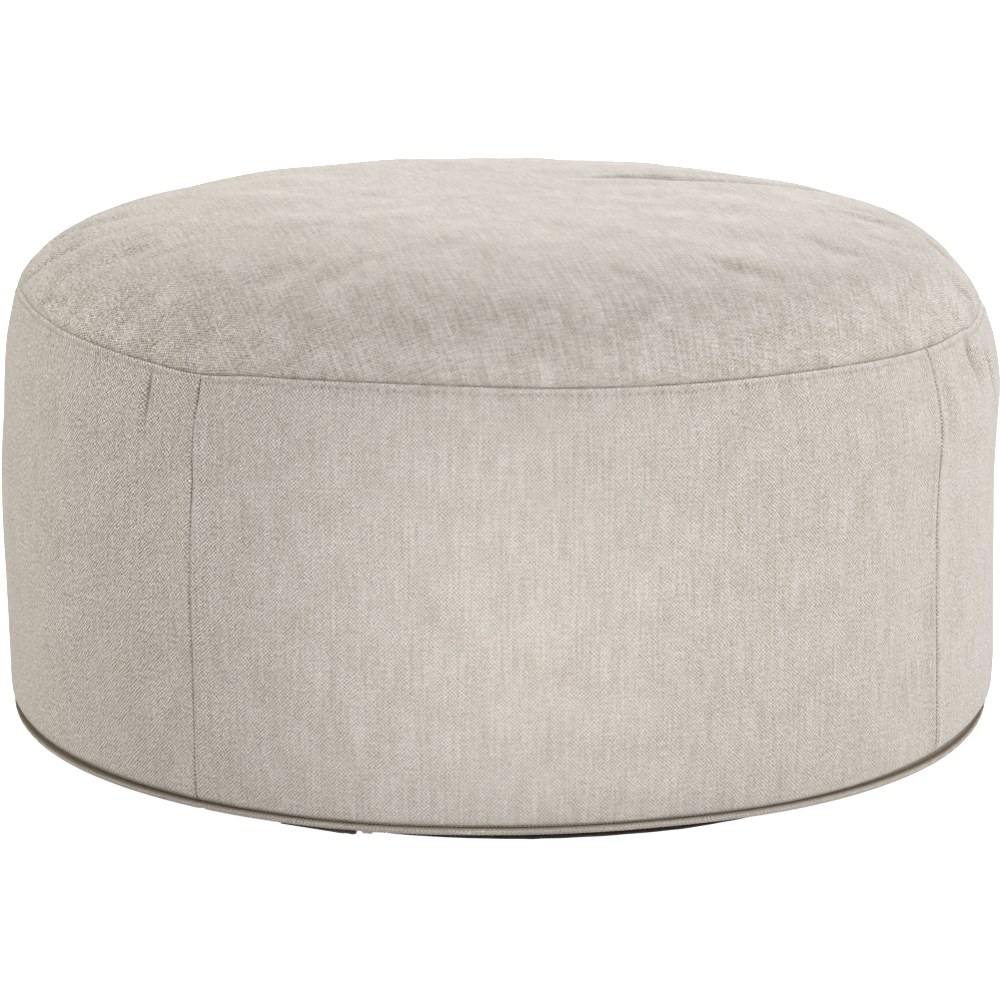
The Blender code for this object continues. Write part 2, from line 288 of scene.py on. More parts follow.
# Curves through tables
def through(places, values, x, period=None):
    """A cubic curve through values at places, read at x.

    Each stretch is the Hermite cubic between two neighbours. The slope at a place is the rise between
    the neighbours on either side of it over the distance between them.
    """
    places = np.asarray(places, float)
    values = np.asarray(values, float)
    x = np.asarray(x, float)
    if period:
        x = (x - places[0]) % period + places[0]
        ahead = places[:2] + period
        places = np.concatenate([places[-1:] - period, places, ahead])
        values = np.concatenate([values[-1:], values, values[:2]])
    wide = (-1,) + (1,) * (values.ndim - 1)
    slopes = np.empty_like(values)
    slopes[1:-1] = (values[2:] - values[:-2]) / (places[2:] - places[:-2]).reshape(wide)
    slopes[0] = (values[1] - values[0]) / (places[1] - places[0])
    slopes[-1] = (values[-1] - values[-2]) / (places[-1] - places[-2])
    index = np.clip(np.searchsorted(places, x, side="right") - 1, 0, len(places) - 2)
    tail = (1,) * (values.ndim - 1)
    span = (places[index + 1] - places[index]).reshape(x.shape + tail)
    t = (x - places[index]).reshape(x.shape + tail) / span
    return (
        (2 * t**3 - 3 * t**2 + 1) * values[index]
        + (t**3 - 2 * t**2 + t) * span * slopes[index]
        + (3 * t**2 - 2 * t**3) * values[index + 1]
        + (t**3 - t**2) * span * slopes[index + 1]
    )


def bell(x):
    """exp of minus x squared: 1 in the middle, falling smoothly to nothing by 2."""
    return np.exp(-np.square(x))


def turned(azimuth):
    """The signed difference of two azimuths, in degrees from -180 to 180."""
    return (azimuth + 180.0) % 360.0 - 180.0


def nearest_seam(azimuth):
    """The angle to the nearest upright seam, in degrees."""
    return np.min([np.abs(turned(azimuth - seam)) for seam in SEAM_AZIMUTHS], axis=0)


def around_axis(azimuth, radius, height):
    """Points at a radius and height round the upright axis."""
    turn = np.radians(azimuth)
    x, y, z = np.broadcast_arrays(radius * np.sin(turn), -radius * np.cos(turn), height)
    return np.stack([x, y, z], -1)


# The shapes
def round_curve(table, azimuth):
    """A table of azimuths and values read all the way round."""
    return through(table[:, 0], table[:, 1], azimuth, 360.0)


def seam_height(azimuth):
    return round_curve(TOP_SEAM, azimuth)


def piping_height(azimuth):
    """The middle of the piping, a little lower than the table says because its cord is slimmer."""
    return round_curve(PIPING_HEIGHTS, azimuth) - PIPING_DROP


def foot_draw(azimuth):
    """How far the band's foot is drawn in: a bell for each stretch, 1 where it is drawn in most."""
    return sum(share * bell(turned(azimuth - middle) / half) for middle, half, share in FOOT_DRAWS)


def piping_thickness(azimuth):
    """The piping's radius, a little fuller where the foot of the band is drawn in."""
    return PIPING_RADIUS * (1 + FULLER_PIPING * foot_draw(azimuth))


def hem_height(azimuth):
    """Where the foot of the band sits on the piping: down over its outer side, or on top if drawn in."""
    overhang = HEM_OVERHANG * (1 - foot_draw(azimuth))
    return piping_height(azimuth) + piping_thickness(azimuth) + PIECE_GAP - overhang


def groove_shade(azimuth):
    """How wide the shade in the groove over the piping is, against its width in front."""
    return round_curve(GROOVE_SHADES, azimuth)


def left_right(left, right, azimuth):
    """Left and right values blended by the sine of the azimuth."""
    right_share = (1 + np.sin(np.radians(azimuth))) / 2
    return left * (1 - right_share) + right * right_share


def soft_waves(azimuth, height, seed, count, most_turns, most_rise, size):
    """Slow uneven waves: a sum of sines with whole numbers of turns round the piece and a slant up it."""
    draw = np.random.default_rng(seed)
    total = 0.0
    for _ in range(count):
        turns = draw.integers(3, most_turns)
        rise = draw.uniform(-most_rise, most_rise)
        phase = draw.uniform(0, 2 * math.pi)
        total = total + np.sin(turns * np.radians(azimuth) + rise * height + phase)
    return size * total / math.sqrt(count)


def band_fold(azimuth, share, fold, narrower=1.0):
    """The bell of one pinch or wrinkle of the band, whose middle leans round the band as it goes up."""
    middle, at_share, half_angle, half_share, _, lean = fold
    across = turned(azimuth - middle + lean * (share - at_share)) / (narrower * half_angle)
    return bell(across) * bell((share - at_share) / half_share)


def widths_away(depth):
    """The distance from a bell's middle, in widths, that gives this depth: large where there is none."""
    return np.sqrt(-np.log(np.clip(depth, 1e-6, 1.0)))


def band_form(azimuth, share):
    """Radius and height of the band's outer face.

    The radius comes from the rows of the table, less a bell for each pinch and wrinkle and one for the
    foot where it is drawn in.
    """
    rows = through(BAND_ROWS[:, 0], BAND_ROWS[:, 1:], share)
    radius = left_right(rows[..., 0], rows[..., 1], azimuth)
    for fold in BAND_FOLDS:
        radius = radius - fold[4] * band_fold(azimuth, share, fold)
    radius = radius - FOOT_DRAW_DEPTH * foot_draw(azimuth) * bell(share / FOOT_DRAW_HEIGHT)
    foot = hem_height(azimuth)
    height = foot + (seam_height(azimuth) - foot) * share
    return radius, height


def fold_valleys(azimuth, share):
    """How far from the nearest sharp fold's valley a place is, in widths, from the sum of their bells:
    where the painted shade of the valleys lies.
    """
    sharp = [fold for fold in BAND_FOLDS if fold[4] > FOLD_SHADE_DEPTH]
    return widths_away(sum(band_fold(azimuth, share, fold, FOLD_SHADE_WIDTH) for fold in sharp))


def crown_line(x, y, fold):
    """Distance from a fold's line, whether that is on its left, and how near its ends: 0 to 1."""
    x0, y0, x1, y1 = fold[:4]
    run_x, run_y = x1 - x0, y1 - y0
    along = np.clip(((x - x0) * run_x + (y - y0) * run_y) / (run_x**2 + run_y**2), 0.0, 1.0)
    away = np.hypot(x - x0 - along * run_x, y - y0 - along * run_y)
    on_left = (y - y0) * run_x - (x - x0) * run_y > 0
    return away, on_left, np.abs(2 * along - 1) ** 3


def crown_fold(x, y):
    """Height of the crown's creases and rolls: a bell of the distance from each one's line.

    A bell may be narrower on one side of its line than on the other, and sinks towards both ends.
    """
    height = 0.0
    for fold in CROWN_FOLDS:
        away, on_left, end = crown_line(x, y, fold)
        right_width, left_width, rise = fold[4:]
        height = height + rise * (1 - 0.85 * end) * bell(away / np.where(on_left, left_width, right_width))
    return height


def crown_valleys(x, y):
    """How far from the nearest sharp crease of the crown a place is, in widths, as for the band's folds:
    where the painted shade of the creases lies.
    """
    depth = 0.0
    for fold in CROWN_FOLDS:
        narrow = min(fold[4:6])
        if fold[6] < 0 and narrow < SHARP_CREASE_WIDTH:
            away, _, end = crown_line(x, y, fold)
            depth = depth + (1 - end) * bell(away / (FOLD_SHADE_WIDTH * narrow))
    return widths_away(depth)


def crown_form(azimuth, row):
    """Radius, height and share of the crown at a place counted in rows of its table.

    The height is the seam's plane, plus the table's left and right heights blended, plus the seam's
    own rise and fall, which fades inwards with a power of the share. Creases push out and up.
    """
    rows = through(np.arange(len(CROWN_ROWS)), CROWN_ROWS, row)
    share = rows[..., 0]
    rise = left_right(rows[..., 1], rows[..., 2], azimuth)
    turn = np.radians(azimuth)
    radius = SEAM_RADIUS * share
    x = radius * np.sin(turn)
    y = -radius * np.cos(turn)
    plane = SEAM_PLANE + SEAM_PLANE_SLOPE * x
    rim_plane = SEAM_PLANE + SEAM_PLANE_SLOPE * SEAM_RADIUS * np.sin(turn)
    seam_rise = seam_height(azimuth) + PIECE_GAP - rim_plane
    height = plane + rise + seam_rise * share**SEAM_REACH
    fold = crown_fold(x, y) * (1 - share**SEAM_HOLD)
    lean = share**FOLD_LEAN_POWER
    drawn_in = SEAM_RADIUS - band_form(azimuth, np.ones_like(share))[0]
    radius = radius - drawn_in * share**SEAM_REACH
    return radius + fold * lean, height + fold * (1 - lean), share


# Meshes from arrays
def dress(piece, node_name):
    """Let a piece ride with the part in place of a node of the frame, which is hidden."""
    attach(piece, "root")
    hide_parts(node_name)
    return piece


def grid_corners(columns, rows, closed, closed_rows=False):
    """Corner numbers of a grid's quads, for its points and for its UV places.

    A closed grid's last column is sewn to its first, so its UV places have one column more. Closed rows
    are the same.
    """
    wide = columns if closed else columns - 1
    high = rows if closed_rows else rows - 1
    column, row = np.meshgrid(np.arange(wide), np.arange(high), indexing="ij")
    corners = ((column, row), (column + 1, row), (column + 1, row + 1), (column, row + 1))
    points = np.stack([(c % columns) * rows + r % rows for c, r in corners], -1)
    uv_rows = rows + 1 if closed_rows else rows
    places = np.stack([c * uv_rows + r for c, r in corners], -1)
    return points.reshape(-1, 4), places.reshape(-1, 4)


def put_mesh(name, points, faces, layers=None, material=None):
    """A mesh object from points and a list of face arrays, all of one size in each array.

    layers holds, for each UV map, one array of corner coordinates for each face array.
    """
    data = bpy.data.meshes.new(name)
    loops = np.concatenate([face.ravel() for face in faces]).astype(np.int32)
    sizes = np.concatenate([np.full(len(face), face.shape[1]) for face in faces])
    starts = np.concatenate([[0], np.cumsum(sizes)[:-1]])
    data.vertices.add(len(points))
    data.vertices.foreach_set("co", points.astype(np.float32).ravel())
    data.loops.add(len(loops))
    data.loops.foreach_set("vertex_index", loops)
    data.polygons.add(len(sizes))
    data.polygons.foreach_set("loop_start", starts.astype(np.int32))
    for layer, corners in (layers or {}).items():
        uv = data.uv_layers.new(name=layer)
        flat = np.concatenate([corner.reshape(-1, 2) for corner in corners])
        uv.data.foreach_set("uv", flat.astype(np.float32).ravel())
    data.update(calc_edges=True)
    data.validate()
    data.shade_smooth()
    piece = bpy.data.objects.new(name, data)
    bpy.context.scene.collection.objects.link(piece)
    if material:
        data.materials.append(material)
    return piece


def sheet_mesh(name, points, layers, material):
    """An open sheet from a grid of points (columns, rows, 3) with UV grids of the same shape."""
    corners, places = grid_corners(points.shape[0], points.shape[1], closed=False)
    uvs = {layer: [grid.reshape(-1, 2)[places]] for layer, grid in layers.items()}
    return put_mesh(name, points.reshape(-1, 3), [corners], uvs, material)


def turned_mesh(name, rings, layers, material):
    """A closed body from sections (columns, rows, 3) that go all the way round.

    The first and last rows are drawn together into one point each. The UV grids have one column more.
    """
    columns, rows = rings.shape[:2]
    middle = rings[:, 1:-1]
    corners, places = grid_corners(columns, rows - 2, closed=True)
    low, high = middle.shape[0] * middle.shape[1], middle.shape[0] * middle.shape[1] + 1
    points = np.concatenate([
        middle.reshape(-1, 3),
        rings[:, :1].mean(axis=0),
        rings[:, -1:].mean(axis=0),
    ])
    first = np.arange(columns)
    second = (first + 1) % columns
    per_column = rows - 2
    low_fan = np.stack([np.full(columns, low), second * per_column, first * per_column], -1)
    top = per_column - 1
    high_fan = np.stack([first * per_column + top, second * per_column + top, np.full(columns, high)], -1)
    uvs = {}
    for layer, grid in layers.items():
        inner = grid[:, 1:-1].reshape(-1, 2)
        low_uv = np.stack([grid[:-1, 0], grid[1:, 1], grid[:-1, 1]], 1)
        high_uv = np.stack([grid[:-1, -2], grid[1:, -2], grid[:-1, -1]], 1)
        uvs[layer] = [inner[places], low_uv, high_uv]
    return put_mesh(name, points, [corners, low_fan, high_fan], uvs, material)


def carried(path, section, closed):
    """Points (path, sides, 3) of a section carried along a path, kept upright.

    The section's first number goes to the right of the path and its second upwards. It is one shape
    (sides, 2), or one for each point of the path (path, sides, 2).
    """
    if closed:
        ahead = np.roll(path, -1, axis=0) - np.roll(path, 1, axis=0)
    else:
        ahead = np.gradient(path, axis=0)
    ahead /= np.linalg.norm(ahead, axis=1, keepdims=True)
    side = np.cross(ahead, (0.0, 0.0, 1.0))
    side /= np.linalg.norm(side, axis=1, keepdims=True)
    up = np.cross(side, ahead)
    section = np.broadcast_to(section, (len(path),) + section.shape[-2:])
    return path[:, None] + side[:, None] * section[..., :1] + up[:, None] * section[..., 1:]


def circle(sides, radius=1.0):
    """A section going round anticlockwise, seen with the path coming towards the eye."""
    turn = np.linspace(0, 2 * math.pi, sides, endpoint=False)
    return radius * np.stack([np.cos(turn), np.sin(turn)], -1)


def blunt_box(sides, power=0.4):
    """A section between a square and a circle: the cosine and sine, each drawn out by a power."""
    round_shape = circle(sides)
    return np.sign(round_shape) * np.abs(round_shape) ** power


def tube_faces(columns, sides, closed, offset=0):
    """Quads of a tube of carried sections, and its two end caps if it isn't closed."""
    corners, _ = grid_corners(columns, sides, closed, closed_rows=True)
    if closed:
        return [corners + offset]
    around = np.arange(sides)
    caps = np.stack([around, (columns - 1) * sides + around[::-1]])
    return [corners + offset, caps + offset]


# How the filled cover settles
SOFT_COLUMNS = 240
SOFT_CROWN_ROWS = np.linspace(0.0, 10.0, 41)[1:]
SOFT_BAND_ROWS = np.linspace(1.0, 0.0, 31)
SOFT_CAP = 0.005
SETTLE_FRAMES = 20
SIDE_HOLD = 0.6
CROWN_SETTLE_KEPT = 0.38
BAND_SETTLE_KEPT = 0.50


def soft_start():
    """The sewn cover before it is filled: crown rings, band rings and a flat foot, on one azimuth grid."""
    azimuth = np.arange(SOFT_COLUMNS) * 360.0 / SOFT_COLUMNS
    crown_radius, crown_height, _ = crown_form(azimuth[:, None], SOFT_CROWN_ROWS[None, :])
    band_radius, band_height = band_form(azimuth[:, None], SOFT_BAND_ROWS[None, 1:])
    foot_radius = band_radius[:, -1:] * np.array([0.8, 0.5, 0.25])
    foot_height = np.broadcast_to(band_height[:, -1:], foot_radius.shape)
    radius = np.concatenate([crown_radius, band_radius, foot_radius], 1)
    height = np.concatenate([crown_height, band_height, foot_height], 1)
    return azimuth, around_axis(azimuth[:, None], radius, height)


def settle_cover():
    """How far the cover moves out when it is filled, on the crown's and the band's soft grids.

    The cover is simulated as cloth a little larger than its pattern, held at its seams and its foot and
    pressed out from inside. What is kept is the move along the surface's own direction, less the mean
    of each ring, so that the outline stays and the hollows and ripples between the seams show.
    """
    azimuth, rings = soft_start()
    columns, rows = rings.shape[:2]
    crown_rows = len(SOFT_CROWN_ROWS)
    band_rows = len(SOFT_BAND_ROWS) - 1
    corners, _ = grid_corners(columns, rows, closed=True)
    middle = crown_form(np.zeros(1), np.zeros(1))
    poles = np.array([[0.0, 0.0, middle[1][0]], [0.0, 0.0, rings[:, -1, 2].mean()]])
    points = np.concatenate([rings.reshape(-1, 3), poles])
    first = np.arange(columns)
    second = (first + 1) % columns
    fan = np.stack([np.full(columns, len(points) - 2), second * rows, first * rows], -1)
    last = rows - 1
    foot_fan = np.stack([first * rows + last, second * rows + last, np.full(columns, len(points) - 1)], -1)
    cover = put_mesh("cover_to_settle", points, [corners, fan, foot_fan])
    cover.data.flip_normals()

    hold = np.zeros((columns, rows))
    hold[:, crown_rows - 1] = 1.0
    hold[:, crown_rows + band_rows - 1:] = 1.0
    hold[:, crown_rows:crown_rows + band_rows] += SIDE_HOLD * bell(nearest_seam(azimuth) / 0.9)[:, None]
    held = np.round(np.clip(np.append(hold.ravel(), [0.0, 1.0]), 0.0, 1.0), 1)
    group = cover.vertex_groups.new(name="held")
    for weight in np.unique(held[held > 0.02]):
        group.add(np.flatnonzero(held == weight).tolist(), float(weight), "REPLACE")

    cloth = cover.modifiers.new("filling", "CLOTH")
    settings = cloth.settings
    settings.quality = 6
    settings.mass = 0.3
    settings.tension_stiffness = 30
    settings.compression_stiffness = 12
    settings.shear_stiffness = 8
    settings.bending_stiffness = 1.2
    settings.use_pressure = True
    settings.uniform_pressure_force = 4.0
    settings.shrink_min = -0.012
    settings.vertex_group_mass = "held"
    settings.effector_weights.gravity = 0.0
    cloth.collision_settings.use_collision = False
    cloth.point_cache.frame_start = 1
    cloth.point_cache.frame_end = SETTLE_FRAMES
    scene = bpy.context.scene
    for step in range(1, SETTLE_FRAMES + 1):
        scene.frame_set(step)
    bpy.context.view_layer.objects.active = cover
    with bpy.context.temp_override(object=cover, active_object=cover, selected_objects=[cover]):
        bpy.ops.object.modifier_apply(modifier=cloth.name)
    settled = np.empty(len(points) * 3, np.float32)
    cover.data.vertices.foreach_get("co", settled)
    data = cover.data
    bpy.data.objects.remove(cover)
    bpy.data.meshes.remove(data)
    scene.frame_set(1)

    move = settled.reshape(-1, 3)[:-2].reshape(columns, rows, 3) - rings
    round_tangent = np.roll(rings, -1, axis=0) - np.roll(rings, 1, axis=0)
    down_tangent = np.gradient(rings, axis=1)
    outward = np.cross(down_tangent, round_tangent)
    outward /= np.linalg.norm(outward, axis=-1, keepdims=True)
    swell = np.clip((move * outward).sum(-1), -SOFT_CAP, SOFT_CAP)
    swell -= swell.mean(axis=0, keepdims=True)
    print("settled cover moves by", float(swell.min()), "to", float(swell.max()))
    crown = CROWN_SETTLE_KEPT * swell[:, :crown_rows]
    band = BAND_SETTLE_KEPT * swell[:, crown_rows - 1:crown_rows + band_rows]
    return crown, band


def read_soft(grid, rows, azimuth, row):
    """A soft grid read at fine azimuths and rows, as a smooth table in both directions."""
    places = np.arange(SOFT_COLUMNS) * 360.0 / SOFT_COLUMNS
    fine = through(places, grid, azimuth, 360.0)
    return through(rows, fine.T, row).T


# Materials
def node(tree, kind, feeds=(), **settings):
    """A new shader node. feeds are values or outputs in order, or by name; None leaves a socket alone."""
    made = tree.nodes.new("ShaderNode" + kind)
    for name, value in settings.items():
        setattr(made, name, value)
    pairs = feeds.items() if isinstance(feeds, dict) else enumerate(feeds)
    for place, feed in pairs:
        if isinstance(feed, bpy.types.NodeSocket):
            tree.links.new(feed, made.inputs[place])
        elif feed is not None:
            made.inputs[place].default_value = feed
    return made


def reckon(tree, operation, *feeds):
    """The output of a Math node."""
    return node(tree, "Math", feeds, operation=operation).outputs[0]


def node_bell(tree, away):
    """exp of minus the square of a value, as Math nodes."""
    return reckon(tree, "EXPONENT", reckon(tree, "MULTIPLY", reckon(tree, "MULTIPLY", away, away), -1.0))


def scaled(tree, vector, factor):
    """A vector times a number."""
    made = node(tree, "VectorMath", {0: vector}, operation="SCALE")
    tree.links.new(factor, made.inputs["Scale"])
    return made.outputs[0]


def noise(tree, vector, scale, detail=2.0, roughness=0.5, distortion=0.0):
    """The grey output of a Noise Texture, from 0 to 1 about a middle of a half."""
    feeds = {"Vector": vector, "Scale": scale, "Detail": detail, "Roughness": roughness}
    feeds["Distortion"] = distortion
    return node(tree, "TexNoise", feeds).outputs["Fac"]


def stretched(tree, vector, turn, scale):
    """The vector turned about its upright axis and scaled along each of its own."""
    feeds = {"Vector": vector, "Rotation": (0.0, 0.0, turn), "Scale": scale}
    return node(tree, "Mapping", feeds, vector_type="POINT").outputs[0]


def new_group(name, inputs, outputs):
    """An empty node group with its named sockets. Returns the group, its input node and its output node."""
    group = bpy.data.node_groups.new(name, "ShaderNodeTree")
    for socket, kind, value in inputs:
        made = group.interface.new_socket(socket, in_out="INPUT", socket_type="NodeSocket" + kind)
        if value is not None:
            made.default_value = value
    for socket, kind in outputs:
        group.interface.new_socket(socket, in_out="OUTPUT", socket_type="NodeSocket" + kind)
    return group, group.nodes.new("NodeGroupInput"), group.nodes.new("NodeGroupOutput")


def weave_group():
    """Crossing threads of a plain weave.

    Over is 1 where a warp thread lies on top and 0 where a weft thread does: half of one plus the
    product of two sines, one for each direction. Height follows it and carries the fibres.
    """
    inputs = (("Vector", "Vector", None), ("Pitch", "Float", 0.001), ("Unevenness", "Float", 0.3))
    group, given, put = new_group("crossing_threads", inputs, (("Over", "Float"), ("Height", "Float")))
    place = given.outputs["Vector"]
    wander = node(group, "TexNoise", {"Vector": place, "Scale": 160.0, "Detail": 2.0})
    centred = node(group, "VectorMath", (wander.outputs["Color"], (0.5, 0.5, 0.5)), operation="SUBTRACT")
    threads = node(group, "VectorMath", (place, None), operation="DIVIDE")
    pitches = node(group, "CombineXYZ", (given.outputs["Pitch"],) * 3)
    group.links.new(pitches.outputs[0], threads.inputs[1])
    drift = scaled(group, centred.outputs[0], reckon(group, "MULTIPLY", given.outputs["Unevenness"], 6.0))
    moved = node(group, "VectorMath", (threads.outputs[0], drift), operation="ADD")
    apart = node(group, "SeparateXYZ", (moved.outputs[0],))
    warp = reckon(group, "SINE", reckon(group, "MULTIPLY", apart.outputs[0], math.pi))
    weft = reckon(group, "SINE", reckon(group, "MULTIPLY", apart.outputs[1], math.pi))
    product = reckon(group, "MULTIPLY", warp, weft)
    over = reckon(group, "MULTIPLY_ADD", product, 0.5, 0.5)
    group.links.new(over, put.inputs["Over"])
    fibres = noise(group, place, 3200.0, 3.0, 0.6)
    group.links.new(reckon(group, "MULTIPLY_ADD", fibres, 0.5, over), put.inputs["Height"])
    return group


def yarn_group():
    """Uneven yarn: streaks along the warp, short thick places along the weft, and broad soft patches."""
    inputs = (
        ("Vector", "Vector", None),
        ("Streaks", "Float", 0.1),
        ("Slubs", "Float", 0.1),
        ("Patches", "Float", 0.1),
        ("Grain", "Float", 0.1),
    )
    group, given, put = new_group("uneven_yarn", inputs, (("Shade", "Float"), ("Height", "Float")))
    place = given.outputs["Vector"]
    streaks = noise(group, stretched(group, place, 0.0, (620.0, 26.0, 1.0)), 1.0, 3.0, 0.65)
    slubs = noise(group, stretched(group, place, 0.0, (95.0, 800.0, 1.0)), 1.0, 2.0, 0.55)
    patches = noise(group, place, 46.0, 4.0, 0.62, 0.4)
    grain = noise(group, place, 520.0, 3.0, 0.7)
    total = 1.0
    for value, amount in ((streaks, "Streaks"), (slubs, "Slubs"), (patches, "Patches"), (grain, "Grain")):
        swing = reckon(group, "SUBTRACT", value, 0.5)
        total = reckon(group, "MULTIPLY_ADD", swing, given.outputs[amount], total)
    group.links.new(total, put.inputs["Shade"])
    lift = reckon(group, "ADD", slubs, streaks)
    group.links.new(reckon(group, "MULTIPLY_ADD", grain, 0.8, lift), put.inputs["Height"])
    return group


def shade_and_dent_line_group():
    """Marks along a line: one for each stitch, as long as Length, within Width of the line, or an unbroken
    line where Length is far longer than a stitch. They place dents and painted shade in needle holes,
    painted shade in seams, grooves and fold valleys, and a painted highlight under the top seam.

    The vector's first number counts stitches along the seam, and the second is the distance from it.
    """
    inputs = (
        ("Vector", "Vector", None),
        ("Distance", "Float", 0.0),
        ("Width", "Float", 0.0006),
        ("Length", "Float", 0.2),
    )
    group, given, put = new_group("painted_shade_and_dent_lines", inputs, (("Mark", "Float"),))
    apart = node(group, "SeparateXYZ", (given.outputs["Vector"],))
    from_line = reckon(group, "SUBTRACT", apart.outputs[1], given.outputs["Distance"])
    near = node_bell(group, reckon(group, "DIVIDE", from_line, given.outputs["Width"]))
    step = reckon(group, "SUBTRACT", reckon(group, "FRACT", apart.outputs[0]), 0.5)
    pulse = node_bell(group, reckon(group, "DIVIDE", step, given.outputs["Length"]))
    group.links.new(reckon(group, "MULTIPLY", near, pulse), put.inputs["Mark"])
    return group


def shaded(tree, colour, shade):
    """A colour times a shade that changes over the surface, which turns a little browner as it darkens."""
    change = scaled(tree, np.multiply(colour, SHADE_TINT).tolist(), reckon(tree, "SUBTRACT", shade, 1.0))
    return node(tree, "VectorMath", (change, colour), operation="ADD").outputs[0]


def put_relief(tree, shader, height):
    """A height in metres put into a shader's normal."""
    bump = node(tree, "Bump", {"Strength": 1.0, "Distance": 1.0, "Height": height})
    tree.links.new(bump.outputs[0], shader.inputs["Normal"])


def new_material(name, roughness, sheen=0.0, sheen_roughness=0.5, colour=(0.5, 0.5, 0.5)):
    """A material with its Principled shader set, its tree and its shader."""
    made = bpy.data.materials.new(name)
    made.use_nodes = True
    made.diffuse_color = (*colour, 1.0)
    shader = made.node_tree.nodes["Principled BSDF"]
    shader.inputs["Base Color"].default_value = (*colour, 1.0)
    shader.inputs["Roughness"].default_value = roughness
    shader.inputs["Specular IOR Level"].default_value = 0.25
    shader.inputs["Sheen Weight"].default_value = sheen
    shader.inputs["Sheen Roughness"].default_value = sheen_roughness
    shader.inputs["Sheen Tint"].default_value = (1.0, 0.97, 0.93, 1.0)
    return made, made.node_tree, shader


# Columns: place across the pouf, width, how much more strongly the weave shows. Painted light: the weave's
# light and dark are drawn stronger at the sides, where the lamps graze the cloth, and weaker in front,
# where they fall square on it
GRAZING_LIGHT_BELLS = ((-0.26, 0.09, 1.25), (0.02, 0.10, -0.40), (0.29, 0.045, 0.60))

# How much of a darkening each of red, green and blue takes, in the cloth's weave and yarn, and in the
# painted shade along its seams, groove and folds
SHADE_TINT = (0.90, 1.00, 1.16)
SEAM_TINT = (0.95, 1.00, 1.06)
WEAVE_UNEVENNESS = 0.40
WEAVE = weave_group()
YARN = yarn_group()
SHADE_AND_DENT_LINES = shade_and_dent_line_group()


def use_group(tree, group, feeds):
    """A node group placed in a material."""
    return node(tree, "Group", feeds, node_tree=group)


def grazing_light_strength(tree):
    """How strongly the weave shows, as painted light: least in front, where the light falls square on the
    cloth, and most at the sides, where it grazes it.

    One less a bell of the place across the pouf for the front, plus a bell for each side.
    """
    across = node(tree, "SeparateXYZ", (node(tree, "TexCoord").outputs["Object"],)).outputs[0]
    total = 1.0
    for middle, width, amount in GRAZING_LIGHT_BELLS:
        away = reckon(tree, "DIVIDE", reckon(tree, "SUBTRACT", across, middle), width)
        total = reckon(tree, "MULTIPLY_ADD", node_bell(tree, away), amount, total)
    return total


def woven_material(name, colour, looks, turn=0.0, marks=()):
    """Upholstery cloth on the map called cloth, which is in metres.

    looks gives contrast (of the crossing threads), relief (their height), and the four amounts of
    uneven yarn; the contrast and grain are scaled by painted light across the pouf. marks are painted
    shade along a line, or a painted highlight where the darkness is negative, with a dent where they
    have depth: the map, the distance of the line from the seam, and the width, length, darkness and
    depth of a mark.
    """
    made, tree, shader = new_material(name, 0.9, looks["sheen"], 0.32, colour)
    uv = node(tree, "UVMap", uv_map="cloth").outputs[0]
    place = stretched(tree, uv, turn, (1.0, 1.0, 1.0))
    weave = use_group(tree, WEAVE, {"Vector": place, "Pitch": THREAD_PITCH, "Unevenness": WEAVE_UNEVENNESS})
    # Painted light: the weave's contrast and grain grow at the sides and shrink in front, as a grazing lamp
    # would show them
    grazing_strength = grazing_light_strength(tree)
    yarn = use_group(tree, YARN, {
        "Vector": place,
        "Streaks": looks["streaks"],
        "Slubs": looks["slubs"],
        "Patches": looks["patches"],
        "Grain": reckon(tree, "MULTIPLY", grazing_strength, looks["grain"]),
    })
    swing = reckon(tree, "SUBTRACT", weave.outputs["Over"], 0.5)
    strength = reckon(tree, "MULTIPLY_ADD", noise(tree, uv, 75.0, 3.0, 0.6), 1.8 * looks["contrast"], 0.1)
    strength = reckon(tree, "MULTIPLY", strength, grazing_strength)
    shade = reckon(tree, "MULTIPLY_ADD", swing, strength, yarn.outputs["Shade"])
    height = reckon(tree, "MULTIPLY", weave.outputs["Height"], looks["relief"])
    height = reckon(tree, "MULTIPLY_ADD", yarn.outputs["Height"], looks["yarn_relief"], height)
    light = 1.0
    # Painted shade along seams, grooves, fold valleys and needle holes, and a painted highlight where the
    # darkness is negative
    for uv_map, distance, width, length, darkness, depth in marks:
        seam = node(tree, "UVMap", uv_map=uv_map).outputs[0]
        feeds = {"Vector": seam, "Distance": distance, "Width": width, "Length": length}
        mark = use_group(tree, SHADE_AND_DENT_LINES, feeds).outputs["Mark"]
        light = reckon(tree, "MULTIPLY", light, reckon(tree, "MULTIPLY_ADD", mark, -darkness, 1.0))
        height = reckon(tree, "MULTIPLY_ADD", mark, -depth, height)
    # The painted shade, a little browner than grey, multiplies the cloth's colour
    darkened = scaled(tree, SEAM_TINT, reckon(tree, "SUBTRACT", light, 1.0))
    seams = node(tree, "VectorMath", (darkened, (1.0, 1.0, 1.0)), operation="ADD")
    sewn = node(tree, "VectorMath", (shaded(tree, colour, shade), seams.outputs[0]), operation="MULTIPLY")
    tree.links.new(sewn.outputs[0], shader.inputs["Base Color"])
    put_relief(tree, shader, height)
    dull = reckon(tree, "MULTIPLY_ADD", weave.outputs["Over"], -0.12, 0.92)
    tree.links.new(dull, shader.inputs["Roughness"])
    return made


def plain_material(name, colour, roughness, scale, amount, relief, sheen=0.0):
    """A small part's finish: soft mottling and fine relief on the piece's own coordinates."""
    made, tree, shader = new_material(name, roughness, sheen, 0.5, colour)
    place = node(tree, "TexCoord").outputs["Object"]
    mottle = noise(tree, place, scale, 4.0, 0.65)
    shade = reckon(tree, "MULTIPLY_ADD", reckon(tree, "SUBTRACT", mottle, 0.5), amount, 1.0)
    tree.links.new(shaded(tree, colour, shade), shader.inputs["Base Color"])
    put_relief(tree, shader, reckon(tree, "MULTIPLY", noise(tree, place, scale * 4, 3.0, 0.6), relief))
    return made


